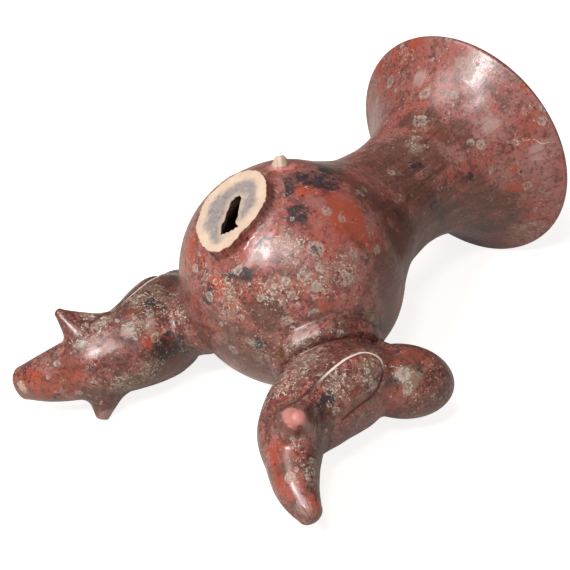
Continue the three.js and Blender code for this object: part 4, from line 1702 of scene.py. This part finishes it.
@dataclass(frozen=True)
class BurnishedRedSlip:
    """Iron-rich red slip, rubbed with a pebble to a gloss, fired unevenly and long buried.

    The eye sees a glossy red that turns orange in patches, brown and black fire clouds with crisp mottled
    edges, and over them dull pale lime: flecks, root marks, and ringed discs with darker middles. A pale
    lilac sheen is painted where the highlights fall, the brown patches are partly painted shade on the shaded
    sides, and the wing grooves hold painted shade with a painted highlight along their upper arch.
    """

    red: str = "#944f46"
    mauve: str = "#90605a"
    orange: str = "#9a4634"
    brown: str = "#5e3d31"
    dull_red: str = "#633a34"
    maroon: str = "#432420"
    streak: str = "#3f2a24"
    singed: str = "#4a3132"
    black: str = "#2b2629"
    black_grain: str = "#241e20"
    film: str = "#84715f"
    # a pale lilac painted highlight
    bloom: str = "#ab8a85"
    earth: str = "#70461f"
    dark_earth: str = "#351c11"
    lime: str = "#9d9182"
    pale_lime: str = "#b9ad9d"
    lime_rings: tuple[tuple[float, str], ...] = (
        (0.0, "#4a403d"), (0.22, "#7d7168"), (0.5, "#9b8f82"), (0.8, "#a3978a"), (0.97, "#5f443d"),
    )  # from a disc's middle out, as shares of its radius
    pink_clay: str = "#b5736b"
    cream: str = "#c0a892"
    old_fill: str = "#a8845f"
    # pale dust in the grooves, partly a painted highlight on their lit edge
    groove_dust_and_highlight: str = "#d2c0b5"
    bare_clay: str = "#94705b"
    gloss: float = 0.25

    def build(self) -> Material:
        """Make the material."""
        clay = ClayTree("burnished_red_slip")
        marks = {kind: clay.attribute(kind.value) for kind in Stain}
        strokes = clay.attribute("burnish", "Vector")
        coats = [
            *self.fired(clay, marks, strokes),
            *self.discs(clay, marks),
            *self.grains_and_roots(clay, marks),
            *self.wear(clay, marks),
            *self.cracks(clay),
            *self.groove(clay),
            Coat(clay.cloud(9, 0.98, 1.02, ((clay.attribute("inner"), 0.02),)), self.bare_clay, 0.85),
        ]
        clay.finish(self.red, self.gloss, coats, self.grain(clay, strokes))
        return clay.material

    def fired(self, clay: ClayTree, marks: dict[Stain, Socket], strokes: Socket) -> list[Coat]:
        """What the fire did to the slip, the lime and dullness that the ground left, and painted sheen and
        shade.

        Args:
            clay: The material's tree.
            marks: The stains stored on the mesh.
            strokes: Coordinates along the polishing strokes.

        Returns:
            The coats, from the lowest up.
        """
        ochre, haze, soot = marks[Stain.OCHRE], marks[Stain.HAZE], marks[Stain.SOOT]
        aged = clay.attribute("aged")
        patchy = clay.noise(17).outputs["Fac"]
        dust = ((clay.cloud(16, 0.42, 0.62), 0.6), (aged, 0.3), (ochre, -0.7))
        dusty = clay.shifted(marks[Stain.CRUST], dust)
        dull = ((patchy, 0.1), (aged, 0.05), (ochre, -0.08))
        fine = ((patchy, 0.1), (aged, 0.06), (ochre, -0.07))
        clouds = [
            Coat(clay.cloud(24, 0.42, 0.62, detail=6), self.mauve),
            Coat(clay.cloud(13, 0.57, 0.65, ((ochre, 0.2),), 0.9, 6, 0.6), self.orange),
            # brown that follows the marks laid on shaded sides, so partly painted shade
            Coat(clay.cloud(14, 0.52, 0.70, ((haze, 0.2), (aged, 0.08)), 0.85, 7, 0.68), self.brown, 0.34),
            Coat(clay.cloud(7, 0.56, 0.64, dull, 0.75, 9, 0.7), self.dull_red, 0.3),
            Coat(clay.cloud(2.0, 0.55, 0.68, fine, 0.8, 7, 0.7), self.maroon),
        ]
        # dark streaks where the brown marks lie, partly painted shade
        streaks = clay.cloud(2.4, 0.5, 0.68, (), 0.7, 4, where=strokes)
        streaks = clay.product(streaks, clay.ramp(haze, 0.0, 0.6))
        filmy = ((dusty, 0.07), (marks[Stain.FILM], 0.12))
        sheen_bias = ((marks[Stain.BLOOM], 0.2),)
        return clouds + [
            Coat(streaks, self.streak, 0.3),
            Coat(clay.cloud(5, 0.54, 0.70, filmy, 0.55, 9, 0.75), self.film, 0.48),
            # pale lilac painted sheen where the highlights fall
            Coat(clay.cloud(4, 0.56, 0.74, sheen_bias, 0.65, 9, 0.75, strokes), self.bloom, 0.36),
            Coat(clay.cloud(7, 0.56, 0.68, ((soot, 0.15),), 0.55, 9, 0.7), self.singed, 0.34),
            Coat(clay.cloud(4.6, 0.61, 0.65, ((soot, 0.15),), 0.9, 10, 0.8), self.black, 0.36),
            Coat(clay.cloud(3.0, 0.635, 0.71, ((dusty, 0.07),), 0.68, 10, 0.78), self.lime, 0.7, 0.04),
            Coat(clay.cloud(1.3, 0.66, 0.73, ((dusty, 0.07),), 0.85, 3), self.pale_lime, 0.8, 0.04),
        ]

    def discs(self, clay: ClayTree, marks: dict[Stain, Socket]) -> list[Coat]:
        """Ringed discs of lime: the placed ones among large strewn ones, and small strewn ones.

        Args:
            clay: The material's tree.
            marks: The stains stored on the mesh.

        Returns:
            The coats.
        """
        tree = clay.tree
        share = add_node(tree, "ShaderNodeMath", {"operation": "SUBTRACT"}, {1: marks[Stain.SPOT]}, {0: 1.0})
        ragged = clay.shifted(share.outputs[0], ((clay.noise(2.2, 4, 0.7).outputs["Fac"], 0.9),))
        placed = add_node(tree, "ShaderNodeMath", {"operation": "SUBTRACT"}, {0: ragged}, {1: 0.45})
        coats = []
        for size, chance, others in ((9.0, 0.1, placed.outputs[0]), (4.2, 0.14, None)):
            ratio = clay.discs(size, chance, bias=((marks[Stain.CRUST], 0.3),), ragged=0.34)
            if others:
                nearest = add_node(tree, "ShaderNodeMath", {"operation": "MINIMUM"}, {0: ratio, 1: others})
                ratio = nearest.outputs[0]
            rings = add_node(tree, "ShaderNodeValToRGB", links={0: ratio})
            stops = rings.color_ramp.elements
            stops.remove(stops[1])
            for i, (at, code) in enumerate(self.lime_rings):
                stop = stops.new(at) if i else stops[0]
                stop.position = at
                stop.color = linear(code)
            broken = clay.cloud(1.2, 0.42, 0.56, detail=4, rough=0.7)
            mask = clay.product(clay.ramp(ratio, 1.05, 0.7, 0.85), broken)
            coats.append(Coat(mask, rings.outputs[0], 0.7, 0.05))
        return coats

    def grains_and_roots(self, clay: ClayTree, marks: dict[Stain, Socket]) -> list[Coat]:
        """Black grains, and the thin pale lines that roots left.

        Args:
            clay: The material's tree.
            marks: The stains stored on the mesh.

        Returns:
            The coats.
        """
        grains = clay.discs(5.5, 0.16, 0.2, ((marks[Stain.DOT], 0.3),))
        tree = clay.tree
        vein = clay.noise(5.0, 1.5).outputs["Fac"]
        off = add_node(tree, "ShaderNodeMath", {"operation": "SUBTRACT"}, {0: vein}, {1: 0.5}).outputs[0]
        thin = add_node(tree, "ShaderNodeMath", {"operation": "ABSOLUTE"}, {0: off}).outputs[0]
        where = clay.cloud(7, 0.57, 0.63, ((marks[Stain.CRUST], 0.08),))
        return [
            Coat(clay.ramp(grains, 1.1, 0.5, 0.9), self.black_grain, 0.5),
            Coat(clay.product(clay.ramp(thin, 0.011, 0.004, 0.8), where), self.pale_lime, 0.8, 0.04),
        ]

    def wear(self, clay: ClayTree, marks: dict[Stain, Socket]) -> list[Coat]:
        """Places where the slip has worn off, and the earth that one hollow holds.

        Args:
            clay: The material's tree.
            marks: The stains stored on the mesh.

        Returns:
            The coats.
        """
        worn, bare, earth = marks[Stain.WORN], marks[Stain.BARE], marks[Stain.PIT]
        return [
            Coat(clay.cloud(2.5, 0.66, 0.84, ((worn, 0.36),), 0.92, 8, 0.72), self.pink_clay, 0.5, -0.04),
            Coat(clay.cloud(1.6, 0.68, 0.86, ((bare, 0.36),), 0.88, 6, 0.7), self.cream, 0.7, -0.04),
            Coat(clay.cloud(1.6, 0.72, 0.88, ((earth, 0.36),), 0.95, 6, 0.7), self.earth, 0.6),
            Coat(clay.cloud(1.3, 0.75, 0.85, ((earth, 0.33),), 0.9, 5), self.dark_earth, 0.5),
        ]

    def cracks(self, clay: ClayTree) -> list[Coat]:
        """The crack in the mouth and its branch, whose edges are pale."""
        tree = clay.tree
        coats = []
        for name, colour in zip(CRACKS, (self.cream, self.old_fill)):
            parts = add_node(tree, "ShaderNodeSeparateXYZ", links={0: clay.attribute(name, "Vector")})
            wander = clay.shifted(parts.outputs[0], ((clay.noise(3.0, 2).outputs["Fac"], 2.4),))
            aside = add_node(tree, "ShaderNodeMath", {"operation": "SUBTRACT"}, {0: wander}, {1: 1.2})
            aside = add_node(tree, "ShaderNodeMath", {"operation": "ABSOLUTE"}, {0: aside.outputs[0]})
            near = clay.shifted(aside.outputs[0], ((parts.outputs[1], -1.0),))
            line = clay.ramp(near, 0.36 - CRACK_REACH, 0.12 - CRACK_REACH)
            coats.append(Coat(clay.product(line, clay.cloud(4, 0.3, 0.6)), colour, 0.8, -0.08))
        return coats

    def groove(self, clay: ClayTree) -> list[Coat]:
        """The groove round each wing: painted shade in it, and along its upper arch pale dust, partly a
        painted highlight.
        """
        tree = clay.tree
        parts = add_node(tree, "ShaderNodeSeparateXYZ", links={0: clay.attribute("groove", "Vector")})
        off = add_node(tree, "ShaderNodeMath", {"operation": "ABSOLUTE"}, {0: parts.outputs[0]})
        wander = (clay.noise(1.5).outputs["Fac"], 0.5)
        aside = clay.shifted(off.outputs[0], ((parts.outputs[1], 1.0), wander))
        share = parts.outputs[2]
        drawn = clay.ramp(share, 0.01, 0.05)
        upper = clay.product(clay.ramp(share, 0.14, 0.26), clay.ramp(share, 0.74, 0.62))
        return [
            # a dark line of painted shade in the groove
            Coat(clay.product(clay.ramp(aside, 1.5, 0.7, 0.85), drawn), self.maroon, 0.5),
            # pale dust along the upper arch, partly a painted highlight on the groove's lit edge
            Coat(clay.product(clay.ramp(aside, 1.15, 0.7, 0.95), upper), self.groove_dust_and_highlight, 0.7),
        ]

    def grain(self, clay: ClayTree, strokes: Socket) -> Socket:
        """Height in mm of the polishing strokes, the slow waves of the hand and the clay's grain."""
        stroke = clay.noise(1.5, 3, where=strokes).outputs["Fac"]
        waves = clay.noise(9.0, 2).outputs["Fac"]
        height = add_node(clay.tree, "ShaderNodeMath", {"operation": "MULTIPLY"}, {0: stroke}, {1: 0.035})
        return clay.shifted(height.outputs[0], ((waves, 0.25), (clay.noise(0.9, 2).outputs["Fac"], 0.025)))


@dataclass(frozen=True)
class BrokenPaste:
    """Fired clay body in a fresh break: cream where air reached it, grey in the core, grainy and dull, with
    painted shade deep in the slit.
    """

    cream: str = "#b9a18c"
    pale_cream: str = "#d6c4b1"
    core: str = "#857a77"
    dark_core: str = "#70655f"
    pale_core: str = "#b5a79c"
    temper: str = "#7d6454"
    rust: str = "#a0684a"
    shade: str = "#2b201c"  # painted shade, darker deeper into the slit
    gloss: float = 0.92

    def build(self) -> Material:
        """Make the material."""
        clay = ClayTree("broken_clay_paste")
        edge = clay.attribute("from_edge")
        slit = clay.attribute("from_slit")
        wander = clay.noise(5, 4, 0.65).outputs["Fac"]
        deep = clay.ramp(clay.shifted(edge, ((wander, 8.0),)), 7.6, 12.4)
        away = clay.ramp(clay.shifted(slit, ((wander, 2.0),)), 1.2, 5.0, 0.6)
        away = add_node(clay.tree, "ShaderNodeMath", {"operation": "ADD"}, {0: away}, {1: 0.4}).outputs[0]
        core = clay.product(deep, away)
        fine = clay.noise(1.1, 6, 0.75).outputs["Fac"]
        coats = [
            Coat(clay.cloud(6, 0.45, 0.75, (), 0.35), self.pale_cream, 0.9),
            Coat(core, self.core, 0.92, -0.12),
            Coat(clay.product(core, clay.cloud(2.5, 0.5, 0.64, (), 0.75, 6, 0.7)), self.dark_core, 0.9),
            Coat(clay.product(core, clay.cloud(3.5, 0.56, 0.7, (), 0.7, 5)), self.pale_core, 0.9),
            Coat(clay.ramp(clay.discs(2.3, 0.16, 0.22), 1.0, 0.7, 0.7), self.temper, 0.9, -0.08),
            Coat(clay.ramp(clay.discs(7.0, 0.12, 0.14), 1.0, 0.6, 0.8), self.rust, 0.9),
            # painted shade, darker deeper into the slit
            Coat(clay.ramp(clay.attribute("below"), 0.8, 2.6), self.shade, 0.95),
        ]
        grain = add_node(clay.tree, "ShaderNodeMath", {"operation": "MULTIPLY"}, {0: fine}, {1: 0.35})
        clay.finish(self.cream, self.gloss, coats, grain.outputs[0])
        return clay.material


# Studio


@dataclass
class Studio:
    """Pale floor, soft lights and the camera at the photograph's place."""

    lens: float = 88.42  # mm on a 36 mm sensor
    place: tuple[float, float, float] = (-497.59, -515.46, 476.21)
    heading: float = 47.53  # degrees from +X to +Y
    drop: float = 30.71  # degrees below the horizon
    roll: float = -10.03
    floor_mirrored: float = 0.2  # the slip mirrors the paper below it
    world_mirrored: float = 0.04  # and, above, a room that is nearly dark
    floor_size: float = 4.0  # half its width, m
    paper: str = "#c6bbb0"  # the tone that the floor throws back on the vessel
    paper_glow: float = 0.84  # lifts the floor to white for the camera
    fill: float = 0.11  # strength of the even light
    aim: tuple[float, float, float] = (0.0, 0.0, 0.07)  # the lamps point at the globe's middle
    lamps: tuple[tuple[str, tuple[float, float, float], float, float], ...] = (
        ("soft_box_key", (-0.84, -0.09, 0.96), 0.32, 13.2),
        ("soft_box_side", (-0.62, -0.52, 1.0), 0.2, 3.5),
        ("soft_box_top", (-0.4, 0.3, 1.1), 0.5, 5.5),
        ("soft_box_front", (-0.55, -1.0, 0.7), 0.7, 2.0),
    )  # name, place and width in m, power in W

    def build(self) -> None:
        """Add floor, lights, world and camera."""
        scene = bpy.context.scene
        scene.view_settings.view_transform = "Standard"
        self.add_camera(scene)
        self.add_floor()
        self.add_lights()
        self.add_world(scene)

    def add_camera(self, scene: bpy.types.Scene) -> None:
        """Put the camera where the photograph was taken."""
        data = bpy.data.cameras.new("camera")
        data.lens = self.lens
        data.clip_start, data.clip_end = 0.05, 20.0
        camera = add_object("camera", data)
        h, d, r = (math.radians(v) for v in (self.heading, self.drop, self.roll))
        ahead = Vector((math.cos(h) * math.cos(d), math.sin(h) * math.cos(d), -math.sin(d)))
        level = Vector((math.sin(h), -math.cos(h), 0.0))
        up = level.cross(ahead)
        right = level * math.cos(r) + up * math.sin(r)
        top = right.cross(ahead)
        turn = Matrix((right, top, -ahead)).transposed()
        camera.matrix_world = Matrix.Translation(Vector(self.place) * MM) @ turn.to_4x4()
        scene.camera = camera

    def add_floor(self) -> None:
        """A pale floor that the camera sees as white paper."""
        mesh = bpy.data.meshes.new("floor")
        s = self.floor_size
        mesh.from_pydata([(-s, -s, 0), (s, -s, 0), (s, s, 0), (-s, s, 0)], [], [(0, 1, 2, 3)])
        floor = add_object("floor", mesh)
        material = bpy.data.materials.new("white_paper_floor")
        material.use_nodes = True
        tree = material.node_tree
        tree.nodes.clear()
        output = add_node(tree, "ShaderNodeOutputMaterial")
        paper = add_node(tree, "ShaderNodeBsdfDiffuse", inputs={"Color": linear(self.paper)})
        paper = paper.outputs[0]
        white = {"Color": (1, 1, 1, 1), "Strength": self.paper_glow}
        glow = add_node(tree, "ShaderNodeEmission", inputs=white)
        bright = add_node(tree, "ShaderNodeAddShader", links={0: paper, 1: glow.outputs[0]})
        seen = self.white_share(tree, self.floor_mirrored)
        mix = add_node(tree, "ShaderNodeMixShader", links={0: seen, 1: paper, 2: bright.outputs[0]})
        tree.links.new(mix.outputs[0], output.inputs["Surface"])
        mesh.materials.append(material)

    @staticmethod
    def white_share(tree: Tree, mirrored: float) -> Socket:
        """How much of the white backdrop a ray sees.

        Args:
            tree: The floor's or the world's nodes.
            mirrored: The share that a glossy ray sees.

        Returns:
            The socket with the share, 1 for camera and transmission rays.
        """
        path = add_node(tree, "ShaderNodeLightPath")
        straight = add_node(
            tree,
            "ShaderNodeMath",
            {"operation": "MAXIMUM"},
            links={0: path.outputs["Is Camera Ray"], 1: path.outputs["Is Transmission Ray"]},
        )
        share = add_node(
            tree,
            "ShaderNodeMath",
            {"operation": "MULTIPLY_ADD", "use_clamp": True},
            links={0: path.outputs["Is Glossy Ray"], 2: straight.outputs[0]},
            inputs={1: mirrored},
        )
        return share.outputs[0]

    def add_lights(self) -> None:
        """Square soft boxes: the key at the upper left, weaker ones above and at the camera's right."""
        for name, place, size, power in self.lamps:
            data = bpy.data.lights.new(name, "AREA")
            data.shape = "SQUARE"
            data.size = size
            data.energy = power
            lamp = add_object(name, data)
            lamp.location = place
            aim = Vector(self.aim) - lamp.location
            lamp.rotation_euler = aim.to_track_quat("-Z", "Y").to_euler()

    def add_world(self, scene: bpy.types.Scene) -> None:
        """Even light from all round, and plain white behind the object."""
        world = bpy.data.worlds.new("studio")
        world.use_nodes = True
        scene.world = world
        tree = world.node_tree
        tree.nodes.clear()
        warm = {"Color": (1, 0.95, 0.9, 1), "Strength": self.fill}
        fill = add_node(tree, "ShaderNodeBackground", inputs=warm)
        white = add_node(tree, "ShaderNodeBackground", inputs={"Color": (1, 1, 1, 1), "Strength": 1.0})
        seen = self.white_share(tree, self.world_mirrored)
        mix = add_node(tree, "ShaderNodeMixShader", links={0: seen, 1: fill.outputs[0], 2: white.outputs[0]})
        output = add_node(tree, "ShaderNodeOutputWorld")
        tree.links.new(mix.outputs[0], output.inputs["Surface"])


def main() -> None:
    """Build the pieces in order, dress them and light them."""
    logging.basicConfig(level=logging.INFO, format="%(name)s: %(message)s")
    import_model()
    slip = BurnishedRedSlip().build()
    paste = BrokenPaste().build()
    wall = VesselWall()
    near = Bird(
        "near_bird",
        "near_foot",
        Placement(61.0),
        wall,
        trunk_side=(21.0, 26.8, 25.4, 21.2, 16.7, 12.8, 8.0),
        trunk_back=(13.0, 20.5, 24.6, 20.0, 14.6, 11.6, 7.4),
        nub_round=4.4,
        facet=1.6,
        pits=((40.2, -9.5, -57.0, 4.2, 2.6),),
    )
    far = Bird(
        "far_bird",
        "far_foot",
        Placement(-158.0, 1.08, 6.2),
        wall,
        trunk_side=(22.0, 27.8, 24.8, 20.2, 17.0, 13.7, 9.8),
        trunk_back=(13.0, 20.5, 23.8, 19.2, 14.7, 12.2, 8.2),
        collar_half=(17.6, 26.0),
        collar_roll=3.3,
        collar_fillet=3.0,
        nub_round=2.2,
        nub_ridge=(0.35, 0.7),
        nub_worn=(4.4, 0.4),
    )
    stump = BrokenRoot(wall)
    scar = BillScar(wall)
    pieces = []
    vessel = wall.build(slip, (near, far), stump)
    cut(vessel, stump.slit_cutter())
    wall.dress(vessel, VESSEL_STAINS, 11)
    pieces.append((vessel, ["globe_bowl", "globe_shoulder", "neck", "flared_rim"], "slipped_clay"))
    for bird, stains, seed in ((near, NEAR_STAINS, 21), (far, FAR_STAINS, 22)):
        foot = bird.build(slip)
        bird.dress(foot, stains, seed)
        parts = ("trunk", "tail", "head", "bill", "nub_left", "nub_right", "collar")
        pieces.append((foot, [f"{bird.nodes}_{part}" for part in parts], "slipped_clay"))
    pieces.append((stump.build(slip, paste), ["lost_foot_stump"], "broken_clay"))
    pieces.append((scar.build(slip, paste), ["lost_bill_scar"], "broken_clay"))
    for piece, nodes, slot in pieces:
        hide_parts(*nodes)
        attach(piece, "root")
        log.info("%s: %d faces", piece.name, len(piece.data.polygons))
    Studio().build()


if __name__ == "__main__":
    main()
